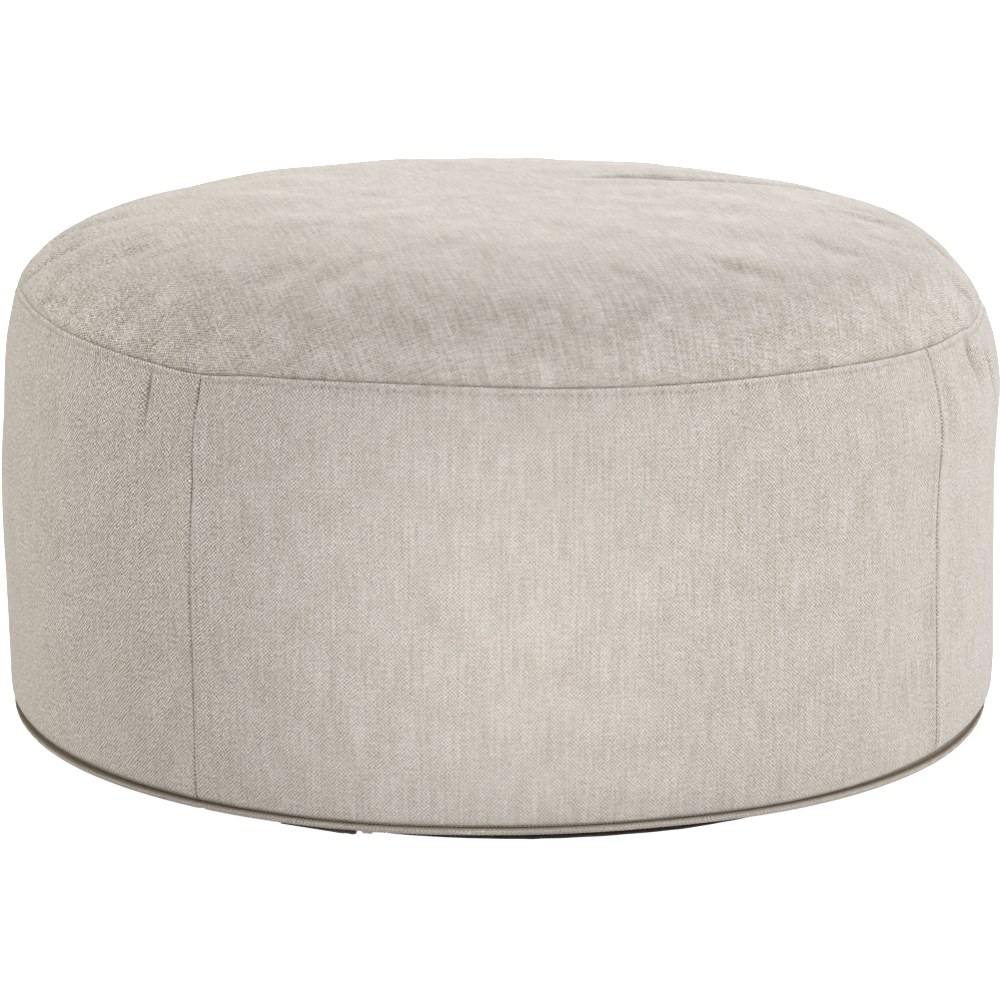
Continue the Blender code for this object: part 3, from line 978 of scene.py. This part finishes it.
CLOTH_COLOUR = (0.60, 0.552, 0.495)
BAND_LOOKS = {
    "contrast": 0.66, "relief": 0.00034, "yarn_relief": 0.00026, "sheen": 0.75,
    "streaks": 0.66, "slubs": 0.35, "patches": 0.30, "grain": 1.20,
}
CROWN_LOOKS = {
    "contrast": 0.50, "relief": 0.00024, "yarn_relief": 0.00040, "sheen": 0.85,
    "streaks": 0.88, "slubs": 0.75, "patches": 0.60, "grain": 1.50,
}
PIPING_LOOKS = {
    "contrast": 0.80, "relief": 0.00030, "yarn_relief": 0.00010, "sheen": 0.30,
    "streaks": 0.30, "slubs": 0.30, "patches": 0.20, "grain": 0.50,
}
WHOLE_LINE = 10.0
# Painted highlight on the lip just under the top seam; painted shade in the topstitching's needle holes, in
# the upright seams' gaps and their needle holes, in the groove over the piping and in the valleys of sharp
# folds
BAND_MARKS = (
    ("top_seam", 0.0006, 0.0005, WHOLE_LINE, -0.24, 0.0),
    ("top_seam", TOPSTITCH_BELOW, 0.0006, 0.17, 0.32, 0.00020),
    ("side_seam", 0.0, 0.0005, WHOLE_LINE, 0.24, 0.0),
    ("side_seam", 0.0003, 0.0006, 0.22, 0.30, 0.0001),
    ("hem_seam", 0.0, 0.0014, WHOLE_LINE, 0.76, 0.0),
    ("fold_valley", 0.0, 1.0, WHOLE_LINE, 0.42, 0.0),
)
# Painted shade on the crown: a dark line along the top seam where the crown rolls over it, a wider soft
# shadow beside it, and shade in the valleys of sharp creases
CROWN_MARKS = (
    ("top_seam", 0.0, 0.0011, WHOLE_LINE, 0.46, 0.0),
    ("top_seam", 0.0, 0.0040, WHOLE_LINE, 0.14, 0.0),
    ("fold_valley", 0.0, 1.0, WHOLE_LINE, 0.34, 0.0),
)
# Painted shade on the piping's upper side, in the groove under the band's foot
PIPING_MARKS = (("hem_seam", -0.0030, 0.0016, WHOLE_LINE, 0.86, 0.0),)

BAND_CLOTH = woven_material("band_cloth", CLOTH_COLOUR, BAND_LOOKS, 0.0, BAND_MARKS)
CROWN_CLOTH = woven_material("crown_cloth", CLOTH_COLOUR, CROWN_LOOKS, CROWN_GRAIN, CROWN_MARKS)
PIPING_CLOTH = woven_material("piping_cloth", (0.56, 0.51, 0.45), PIPING_LOOKS, 0.0, PIPING_MARKS)
THREAD = plain_material("sewing_thread", (0.62, 0.58, 0.53), 0.7, 900.0, 0.3, 0.00004, 0.1)
BASE_CLOTH = plain_material("dark_base_cloth", (0.062, 0.046, 0.036), 0.9, 700.0, 0.6, 0.00015)
COIL = plain_material("zip_coil", (0.150, 0.140, 0.100), 0.45, 600.0, 0.5, 0.00003)
SLIDER = plain_material("zip_slider", (0.045, 0.040, 0.032), 0.4, 300.0, 0.5, 0.00002)
TAB_CLOTH = plain_material("tab_cloth", (0.56, 0.49, 0.40), 0.9, 900.0, 0.5, 0.0001)


# The filled crown
CROWN_COLUMNS = 640
CROWN_STEP = 0.0025
BODY_RECESS = CLOTH_THICKNESS + 0.0011
EDGE_ROWS = np.array([10.0, 9.96, 9.92, 9.87, 9.81, 9.74, 9.66, 9.56, 9.44, 9.3, 9.15])
INSIDE_RECESS = BODY_RECESS + 0.005
INSIDE_SHARES = np.array([0.0, 0.1, 0.3, 0.5, 0.7, 0.85, 0.94, 0.98])
CROWN_WAVE = 0.0005
SEAM_RIPPLE = 0.00035
SEAM_RIPPLE_REACH = 0.014

CROWN_SWELL, BAND_SWELL = settle_cover()


def normals_of(points):
    """Unit normals of a grid that goes round along its columns and inwards or upwards along its rows."""
    around = np.roll(points, -1, axis=0) - np.roll(points, 1, axis=0)
    along = np.gradient(points, axis=1)
    normal = np.cross(around, along)
    return normal / np.maximum(np.linalg.norm(normal, axis=-1, keepdims=True), 1e-12)


def seam_ripples(azimuth, away, seed):
    """Small uneven ripples square to the top seam, which fade within a finger's width of it."""
    ripples = soft_waves(azimuth, away, seed, 9, 150, 60.0, SEAM_RIPPLE)
    patch = 0.5 + 0.5 * np.sin(3 * np.radians(azimuth) + seed) * np.sin(7 * np.radians(azimuth))
    return ripples * patch * bell(away / SEAM_RIPPLE_REACH)


def even_crown_rows():
    """Rows of the crown's table an even distance apart over its surface, from the edge inwards."""
    row = np.linspace(0.0, EDGE_ROWS[-1], 2000)
    radius, height, _ = crown_form(np.full_like(row, 40.0), row)
    run = np.concatenate([[0.0], np.cumsum(np.hypot(np.diff(radius), np.diff(height)))])
    count = int(run[-1] / CROWN_STEP)
    inner = np.interp(np.linspace(run[-1], run[1], count)[1:], run, row)
    return np.concatenate([EDGE_ROWS, inner, [0.0]])


def filled_crown():
    """The whole filling with its crown: the crown's rows, its sewn edge, and the sides under the band."""
    azimuth = np.arange(CROWN_COLUMNS) * 360.0 / CROWN_COLUMNS
    turn = azimuth[:, None]
    rows = even_crown_rows()
    radius, height, share = crown_form(turn, rows[None, :])
    from_edge = height - seam_height(azimuth)[:, None]
    crown = around_axis(turn, radius, height)
    swell = read_soft(CROWN_SWELL, SOFT_CROWN_ROWS, azimuth, np.maximum(rows, SOFT_CROWN_ROWS[0]))
    swell = swell * np.clip(share / 0.1, 0.0, 1.0)
    waves = soft_waves(turn, 30.0 * share, 5, 7, 16, 0.8, CROWN_WAVE)
    swell = swell + waves * np.clip(share * 3, 0, 1) * (1 - share**8)
    from_seam = np.maximum(from_edge, 0.0)
    swell = swell + seam_ripples(turn, from_seam, 11)
    swell = swell - SEAM_TURN_DEPTH * bell(from_seam / SEAM_TURN_WIDTH)
    crown = crown + normals_of(crown) * swell[..., None]
    crown[:, -1] = crown[:, -1].mean(axis=0)

    inside_radius, inside_height = band_form(turn, INSIDE_SHARES[None, :])
    inside = around_axis(turn, inside_radius - INSIDE_RECESS, inside_height)
    rim = crown[:, 0]
    ledge_scale = 1 - (INSIDE_RECESS - SEAM_TURN_DEPTH) / np.linalg.norm(rim[:, :2], axis=1, keepdims=True)
    ledge = np.concatenate([rim[:, :2] * ledge_scale, rim[:, 2:]], 1)
    ring_inside = PIPING_RING_RADIUS - PIPING_RADIUS - 2 * PIECE_GAP
    floor = BASE_THICKNESS + PIECE_GAP
    under = np.stack([
        around_axis(azimuth, 0.0, floor),
        around_axis(azimuth, 0.15, floor),
        around_axis(azimuth, ring_inside, floor),
        around_axis(azimuth, ring_inside, hem_height(azimuth)),
    ], 1)
    rings = np.concatenate([under, inside, ledge[:, None], crown], 1)

    run = np.linalg.norm(np.diff(crown, axis=1), axis=-1)[:, ::-1].cumsum(axis=1)[:, ::-1]
    from_middle = np.concatenate([run, np.zeros((CROWN_COLUMNS, 1))], 1)
    hidden = np.repeat(from_middle[:, :1], rings.shape[1] - crown.shape[1], axis=1)
    from_middle = np.concatenate([hidden, from_middle], 1)
    from_middle = np.concatenate([from_middle, from_middle[:1]], 0)
    turns = np.radians(np.append(azimuth, 360.0))[:, None]
    cloth = np.stack([from_middle * np.sin(turns), -from_middle * np.cos(turns)], -1)
    above = np.concatenate([from_edge, from_edge[:1]], 0)
    above = np.concatenate([np.zeros((len(above), hidden.shape[1])), above], 1)
    seam = np.stack([np.broadcast_to(turns, above.shape), above], -1)
    # A map that places the painted shade in the crown's crease valleys
    valleys = crown_valleys(rings[..., 0], rings[..., 1])
    valleys = np.concatenate([valleys, valleys[:1]], 0)
    fold_valley = np.stack([np.broadcast_to(turns, valleys.shape), valleys], -1)
    layers = {"cloth": cloth, "top_seam": seam, "fold_valley": fold_valley}
    piece = dress(turned_mesh("filled_crown", rings, layers, CROWN_CLOTH), "filled_body")


# The band
PANEL_STEP = 0.0021
BAND_STEP = 0.0023
BAND_HEIGHT = 0.2385
SIDE_STEPS = np.array([0.0, 0.0004, 0.0008, 0.0013, 0.0019, 0.0026, 0.0034, 0.0044, 0.0057])
TOP_STEPS = np.array([
    0.0, 0.0003, 0.0006, 0.0009, 0.0013, 0.0018, 0.0023, 0.0028,
    0.0032, 0.0035, 0.0037, 0.0039, 0.0042, 0.0046, 0.0052, 0.0062, 0.0077,
])
HEM_STEPS = np.array([0.0, 0.0005, 0.0010, 0.0016, 0.0023, 0.0032, 0.0044])
STITCH_GROOVE = 0.0006
STITCH_GROOVE_WIDTH = 0.0011
SIDE_TURN_DEPTH = 0.0005
SIDE_TURN_WIDTH = 0.0007
HEM_TURN_DEPTH = 0.0004
HEM_TURN_WIDTH = 0.0012
ALLOWANCE_RIDGE = 0.00035
BAND_WAVE = 0.00045
PATTERN_RADIUS = 0.2990
SEAM_STILLNESS = 0.012


def graded(start, end, start_steps, end_steps, step):
    """Places from start to end: the given steps at either end and even ones between."""
    low = start + start_steps
    high = end - end_steps[::-1]
    count = int(round((high[0] - low[-1]) / step))
    return np.concatenate([low, np.linspace(low[-1], high[0], count + 1)[1:-1], high])


def sewn_band(azimuth, share, side, swell):
    """Radius and height of the dressed band, from its form and what sewing does to it.

    The cloth dips under at the top seam and at the upright seams, dips along the topstitching, lies a
    little proud over each seam allowance, and ripples near the top.
    """
    radius, height = band_form(azimuth, share)
    below = seam_height(azimuth) - height
    dips = SEAM_TURN_DEPTH * bell(below / SEAM_TURN_WIDTH)
    dips = dips + STITCH_GROOVE * bell((below - TOPSTITCH_BELOW) / STITCH_GROOVE_WIDTH)
    dips = dips + SIDE_TURN_DEPTH * bell(side / SIDE_TURN_WIDTH)
    dips = dips + HEM_TURN_DEPTH * bell((height - hem_height(azimuth)) / HEM_TURN_WIDTH)
    for seam, at_share, half_share, depth in SEAM_PULLS:
        here = bell(turned(azimuth - seam) / 3.0) * bell((share - at_share) / half_share)
        dips = dips + depth * here * bell(side / PULL_WIDTH)
    proud = ALLOWANCE_RIDGE * (bell((below - 0.0020) / 0.0012) + bell((below - 0.0062) / 0.0022))
    proud = proud + ALLOWANCE_RIDGE * bell((side - 0.0042) / 0.0022)
    ripples = seam_ripples(azimuth, np.maximum(below, 0.0), 23)
    waves = soft_waves(azimuth, height, 3, 8, 26, 22.0, BAND_WAVE)
    waves = waves * np.sin(math.pi * np.clip(share, 0, 1)) ** 0.5
    return radius - dips + proud + ripples + waves + swell, height


def band_panel(number, node_name):
    """One panel of the band: a fine sheet between two upright seams, given its thickness inwards."""
    start = SEAM_AZIMUTHS[number]
    end = SEAM_AZIMUTHS[(number + 1) % len(SEAM_AZIMUTHS)]
    end += 360.0 if end < start else 0.0
    half_gap = PANEL_GAP / 2
    arc = math.radians(end - start) * PATTERN_RADIUS
    places = graded(half_gap, arc - half_gap, SIDE_STEPS, SIDE_STEPS, PANEL_STEP)
    for middle, _, half_angle, *_ in BAND_FOLDS:
        away = math.radians(turned(middle - start)) * PATTERN_RADIUS
        reach = FOLD_FINE_REACH * math.radians(half_angle) * PATTERN_RADIUS
        low, high = max(away - reach, SIDE_STEPS[-1]), min(away + reach, arc - SIDE_STEPS[-1])
        if half_angle < FINE_FOLD_ANGLE and high > low:
            outer = places[(places < low - FOLD_FINE_STEP) | (places > high + FOLD_FINE_STEP)]
            places = np.sort(np.concatenate([outer, np.arange(low, high, FOLD_FINE_STEP)]))
    azimuth = start + np.degrees(places / PATTERN_RADIUS)
    side = np.minimum(places, arc - places)[:, None] - half_gap
    end_shade = SEAM_SHADES[(number + 1) % len(SEAM_AZIMUTHS)]
    shade_width = np.where(places < arc / 2, SEAM_SHADES[number], end_shade)[:, None]
    up = graded(0.0, BAND_HEIGHT, HEM_STEPS, TOP_STEPS, BAND_STEP)
    share = up / BAND_HEIGHT
    swell = read_soft(BAND_SWELL[:, ::-1], SOFT_BAND_ROWS[::-1], azimuth, share)
    swell = swell * (1 - bell(side / SEAM_STILLNESS))
    turn = azimuth[:, None]
    out, height = sewn_band(turn, share[None, :], side, swell)
    points = around_axis(turn, out, height)
    around = np.broadcast_to(places[:, None], height.shape)
    below = seam_height(turn) - height
    stitches = np.broadcast_to(turn / 360.0 * TOPSTITCH_COUNT, height.shape)
    from_side = np.broadcast_to(side / shade_width, height.shape)
    # Maps that place the painted shade of the seams, the groove and the fold valleys, and the needle holes
    layers = {
        "cloth": np.stack([around + number, height], -1),
        "top_seam": np.stack([stitches, below], -1),
        "side_seam": np.stack([height / SIDE_STITCH_PITCH, from_side], -1),
        "hem_seam": np.stack([stitches, (height - hem_height(turn)) / groove_shade(turn)], -1),
        "fold_valley": np.stack([stitches, fold_valleys(turn, share[None, :])], -1),
    }
    piece = sheet_mesh(node_name + "_cloth", points, layers, BAND_CLOTH)
    wall = piece.modifiers.new("thickness", "SOLIDIFY")
    wall.thickness = CLOTH_THICKNESS
    wall.offset = -1.0
    wall.use_even_offset = True
    dress(piece, node_name)


def topstitching():
    """The row of stitches under the top seam: short threads whose ends dive into the cloth.

    Each stitch is a tube along the groove, thick in its middle and thin at its ends, whose middle
    stands out of the cloth by a raised cosine of the place along it.
    """
    sections, sides = 7, 6
    along = np.linspace(-1.0, 1.0, sections)
    stitch = np.arange(TOPSTITCH_COUNT)[:, None]
    uneven = np.random.default_rng(8).uniform(-1.0, 1.0, (3, TOPSTITCH_COUNT, 1))
    half = STITCH_LENGTH / 2 / STITCH_ROW_RADIUS * (1 + 0.06 * uneven[0])
    azimuth = stitch * 360.0 / TOPSTITCH_COUNT + np.degrees(half * along[None, :])
    drop = TOPSTITCH_BELOW + 0.00012 * uneven[1] + 0.0001 * uneven[2] * along[None, :]
    share = 1 - drop / (seam_height(azimuth) - hem_height(azimuth))
    line = np.array([share.mean()])
    swell = read_soft(BAND_SWELL[:, ::-1], SOFT_BAND_ROWS[::-1], azimuth.ravel(), line)
    nearest = np.radians(nearest_seam(azimuth)) * PATTERN_RADIUS
    swell = swell.reshape(azimuth.shape) * (1 - bell(nearest / SEAM_STILLNESS))
    radius, height = sewn_band(azimuth, share, np.ones_like(azimuth), swell)
    lift = THREAD_RADIUS * (1.1 * np.cos(along * math.pi / 2) - 0.55)
    thick = THREAD_RADIUS * (0.35 + 0.65 * np.cos(along * math.pi / 2) ** 0.5)
    ring = circle(sides)
    out = (radius + lift)[..., None] + thick[None, :, None] * ring[None, None, :, 0]
    rise = height[..., None] + thick[None, :, None] * ring[None, None, :, 1]
    points = around_axis(azimuth[..., None], out, rise).reshape(-1, 3)
    quads, caps = tube_faces(sections, sides, closed=False)
    starts = (stitch * sections * sides)[:, :, None]
    faces = [(quads[None] + starts).reshape(-1, 4), (caps[None] + starts).reshape(-1, sides)]
    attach(put_mesh("topstitching", points, faces, material=THREAD), "root")


# The foot
PIPING_COLUMNS = 2800
PIPING_SIDES = 14
PIPING_JOINT = -34.2
RIB_DEPTH = 0.00028
RIB_PITCH = 0.0026


def piping():
    """The covered cord round the foot: a circle carried round, drawn in at its joint, with slanted ribs."""
    azimuth = np.arange(PIPING_COLUMNS) * 360.0 / PIPING_COLUMNS
    path = around_axis(azimuth, PIPING_RING_RADIUS, piping_height(azimuth))
    turn = np.linspace(0, 2 * math.pi, PIPING_SIDES, endpoint=False)
    around = np.radians(azimuth) * PIPING_RING_RADIUS
    rib = np.sin(2 * math.pi * (around[:, None] / RIB_PITCH) + turn[None, :])
    joint = bell(turned(azimuth - PIPING_JOINT) / 0.35)
    radius = (piping_thickness(azimuth) * (1 - 0.16 * joint))[:, None] - RIB_DEPTH * (0.5 + 0.5 * rib)
    section = circle(PIPING_SIDES)[None] * radius[..., None]
    points = carried(path, section, closed=True)
    corners, places = grid_corners(PIPING_COLUMNS, PIPING_SIDES, True, True)
    run = np.append(around, 2 * math.pi * PIPING_RING_RADIUS)[:, None]
    girth = np.linspace(0, 2 * math.pi, PIPING_SIDES + 1)[None, :] * PIPING_RADIUS
    cloth = np.stack(np.broadcast_arrays(run, girth), -1).reshape(-1, 2)
    # Where the groove's painted shade lies on the piping: its top, widened by groove_shade
    from_groove = girth - PIPING_RADIUS * math.pi / 2 - PIPING_MARKS[0][1]
    widths = groove_shade(np.append(azimuth, 360.0))[:, None]
    from_top = from_groove / widths + PIPING_MARKS[0][1]
    seam = np.stack(np.broadcast_arrays(run, from_top), -1).reshape(-1, 2)
    layers = {"cloth": [cloth[places]], "hem_seam": [seam[places]]}
    piece = put_mesh("piping_cord", points.reshape(-1, 3), [corners], layers, PIPING_CLOTH)
    dress(piece, "piping")


def base_panel():
    """The dark cloth under the pouf: a disc with its own rim, puckered at the edge and rolled over."""
    azimuth = np.arange(720) * 0.5
    rim = np.interp(turned(azimuth), BASE_RIM[:, 0], BASE_RIM[:, 1])
    rim = rim + RIM_NUB_SIZE * bell(turned(azimuth - RIM_NUB_AZIMUTH) / RIM_NUB_HALF_ANGLE)
    pucker = soft_waves(azimuth, 0.0, 31, 6, 120, 1.0, RIM_PUCKER)
    lift = (pucker - pucker.min()) / 2
    rings = [
        around_axis(azimuth, from_rim * rim + radius, height + puckered * lift)
        for from_rim, radius, height, puckered in BASE_SECTION
    ]
    dress(turned_mesh("base_cloth_panel", np.stack(rings, 1), {}, BASE_CLOTH), "base_panel")


# The zip's end
def along_zip(distance):
    """Points on the zip's middle line, a distance from its start."""
    flat = ZIP_START + np.asarray(distance)[:, None] * (ZIP_END - ZIP_START) / ZIP_LENGTH
    return np.concatenate([flat, np.zeros((len(flat), 1))], 1)


def zip_coil():
    """The closed coil on its tape: two flat spirals of wire half a turn apart, over a thin strip."""
    per_turn = 12
    count = int(ZIP_LENGTH / COIL_PITCH) * per_turn
    distance = np.linspace(0.0, ZIP_LENGTH - COIL_PITCH, count)
    turn = 2 * math.pi * distance / COIL_PITCH
    middle = along_zip(distance)
    ahead = (ZIP_END - ZIP_START) / ZIP_LENGTH
    side = np.array((ahead[1], -ahead[0], 0.0))
    wire = circle(6, COIL_WIRE_RADIUS)
    points, faces, offset = [], [], 0
    for hand in (-1.0, 1.0):
        phase = turn + hand * 0.5 * math.pi
        path = middle + side * (hand * COIL_OFFSET + COIL_HALF_WIDTH * np.cos(phase))[:, None]
        path[:, 2] = ZIP_LIFT + COIL_LIFT + COIL_RADIUS * 0.7 * np.sin(phase)
        tube = carried(path, wire, closed=False)
        points.append(tube.reshape(-1, 3))
        faces.append(tube_faces(count, 6, closed=False, offset=offset))
        offset += count * 6
    strip = along_zip(np.linspace(0.0, ZIP_LENGTH, 60)) - side * TAPE_REACH / 2
    strip[:, 2] = ZIP_LIFT + TAPE_THICKNESS / 2
    section = blunt_box(16) * np.array(((ZIP_WIDTH + TAPE_REACH) / 2, TAPE_THICKNESS / 2))
    points.append(carried(strip, section, closed=False).reshape(-1, 3))
    strip_faces = tube_faces(60, 16, closed=False, offset=offset)
    quads = np.concatenate([faces[0][0], faces[1][0], strip_faces[0]])
    wire_caps = np.concatenate([faces[0][1], faces[1][1]])
    every_face = [quads, wire_caps, strip_faces[1]]
    piece = put_mesh("zip_coil_and_tape", np.concatenate(points), every_face, material=COIL)
    dress(piece, "zip_coil")


def zip_slider():
    """The slider at the coil's end: a blunt box that narrows to its tip and swells over the coil."""
    share = np.linspace(0.0, 1.0, 18)
    path = along_zip(ZIP_LENGTH + PIECE_GAP + share * SLIDER_LENGTH)
    path[:, 2] = ZIP_LIFT + SLIDER_THICKNESS / 2
    close = np.sqrt(np.clip(1 - np.abs(2 * share - 1) ** 8, 0.02, 1.0))
    width = (ZIP_WIDTH * (1 - share**1.6) + SLIDER_TIP_WIDTH * share**1.6) / 2 * close
    height = SLIDER_THICKNESS / 2 * close * (0.86 + 0.14 * np.cos(3 * math.pi * share))
    section = blunt_box(20, 0.5)[None] * np.stack([width, height], -1)[:, None]
    points = carried(path, section, closed=False).reshape(-1, 3)
    piece = put_mesh("zip_slider_body", points, tube_faces(18, 20, closed=False), material=SLIDER)
    dress(piece, "zip_slider")


def zip_end_tab():
    """The folded tab of cloth past the slider: a soft block, pinched a little in its middle."""
    length, width, height = END_TAB_SIZE
    share = np.linspace(-1.0, 1.0, 20)
    turn = math.radians(END_TAB_AZIMUTH)
    ahead = np.array((math.cos(turn), math.sin(turn), 0.0))
    middle = around_axis(END_TAB_AZIMUTH, END_TAB_RADIUS, ZIP_LIFT + height / 2)
    path = middle + ahead * (share * length / 2)[:, None]
    close = np.sqrt(np.clip(1 - np.abs(share) ** 6, 0.04, 1.0)) * (1 - 0.10 * bell(share / 0.35))
    section = blunt_box(20, 0.6)[None] * np.stack([close * width / 2, close * height / 2], -1)[:, None]
    points = carried(path, section, closed=False).reshape(-1, 3)
    piece = put_mesh("zip_end_cloth_tab", points, tube_faces(20, 20, closed=False), material=TAB_CLOTH)
    dress(piece, "zip_end_tab")


filled_crown()
for number, node_name in enumerate(PANEL_NAMES):
    band_panel(number, node_name)
topstitching()
piping()
base_panel()
zip_coil()
zip_slider()
zip_end_tab()


# The studio
FLOOR_HALF_SIZE = 9.0
FLOOR_DROP = 0.0003
SURROUND_STRENGTH = 0.595
SURROUND_RIGHT = 0.07
SURROUND_BACK = 0.16
WHITE = (1.0, 1.0, 1.0)
WARM = (1.0, 0.93, 0.80)

# Name, place, target, size, watts, spread in degrees, colour
LIGHTS = (
    ("band_front", (-0.03, -2.2, 0.20), (0.01, -0.3, 0.125), 0.24, 0.073, 10.5, WHITE),
    ("key_front_right", (0.6, -2.6, 1.1), (0.0, 0.0, 0.15), 1.1, 18.0, 180.0, WHITE),
    ("side_right", (2.5, 0.4, 0.8), (0.0, 0.0, 0.2), 1.2, 29.0, 180.0, WHITE),
    ("rim_back_left", (-2.2, 1.3, 0.9), (0.0, 0.0, 0.2), 1.4, 35.0, 180.0, WARM),
    ("back_low", (0.3, 2.6, 1.0), (0.0, 0.0, 0.2), 1.2, 11.0, 180.0, WHITE),
)


def stage():
    """A pale floor that runs out into a white surround, a hair below the base."""
    sides = FLOOR_HALF_SIZE * np.array([(-1, -1), (1, -1), (1, 1), (-1, 1)])
    corners = np.column_stack([sides, np.full(4, -FLOOR_DROP)])
    floor = put_mesh("studio_floor", corners, [np.array([[0, 1, 2, 3]])])
    made, tree, shader = new_material("studio_floor", 0.8, colour=(0.80, 0.80, 0.80))
    shader.inputs["Emission Color"].default_value = (1.0, 1.0, 1.0, 1.0)
    tree.links.new(node(tree, "LightPath").outputs["Is Camera Ray"], shader.inputs["Emission Strength"])
    floor.data.materials.append(made)


def surround():
    """Light from all round: white to the camera, and for the piece brighter from the right and behind."""
    world = bpy.data.worlds.new("studio_surround")
    world.use_nodes = True
    tree = world.node_tree
    seen = tree.nodes["Background"]
    seen.inputs["Color"].default_value = (1.0, 1.0, 1.0, 1.0)
    place = node(tree, "TexCoord").outputs["Generated"]
    apart = node(tree, "SeparateXYZ", (place,))
    right = reckon(tree, "MULTIPLY_ADD", apart.outputs[0], SURROUND_RIGHT, SURROUND_STRENGTH)
    lit_strength = reckon(tree, "MULTIPLY_ADD", apart.outputs[1], SURROUND_BACK, right)
    lit = node(tree, "Background", {"Color": (1.0, 1.0, 1.0, 1.0), "Strength": lit_strength})
    ray = node(tree, "LightPath").outputs["Is Camera Ray"]
    mixed = node(tree, "MixShader", (ray, lit.outputs[0], seen.outputs[0]))
    tree.links.new(mixed.outputs[0], tree.nodes["World Output"].inputs["Surface"])
    bpy.context.scene.world = world


def soft_light(name, place, target, size, watts, spread, colour):
    """A square soft light aimed at a target, whose beam opens by spread degrees."""
    data = bpy.data.lights.new(name, "AREA")
    data.color = colour
    data.size = size
    data.energy = watts
    data.spread = math.radians(spread)
    light = bpy.data.objects.new(name, data)
    light.location = place
    aim = np.array(target) - np.array(place)
    flat = math.hypot(aim[0], aim[1])
    light.rotation_euler = (math.atan2(flat, -aim[2]), 0.0, math.atan2(aim[1], aim[0]) - math.pi / 2)
    bpy.context.scene.collection.objects.link(light)


def photo_camera():
    data = bpy.data.cameras.new("photo_camera")
    data.sensor_width = SENSOR_WIDTH
    data.lens = FOCAL_PIXELS / IMAGE_SIZE * SENSOR_WIDTH
    camera = bpy.data.objects.new("photo_camera", data)
    camera.location = CAMERA_PLACE
    camera.rotation_euler = (math.pi / 2 - CAMERA_DIP, 0.0, 0.0)
    bpy.context.scene.collection.objects.link(camera)
    bpy.context.scene.camera = camera


stage()
surround()
for light in LIGHTS:
    soft_light(*light)
photo_camera()
bpy.context.scene.view_settings.view_transform = "Standard"
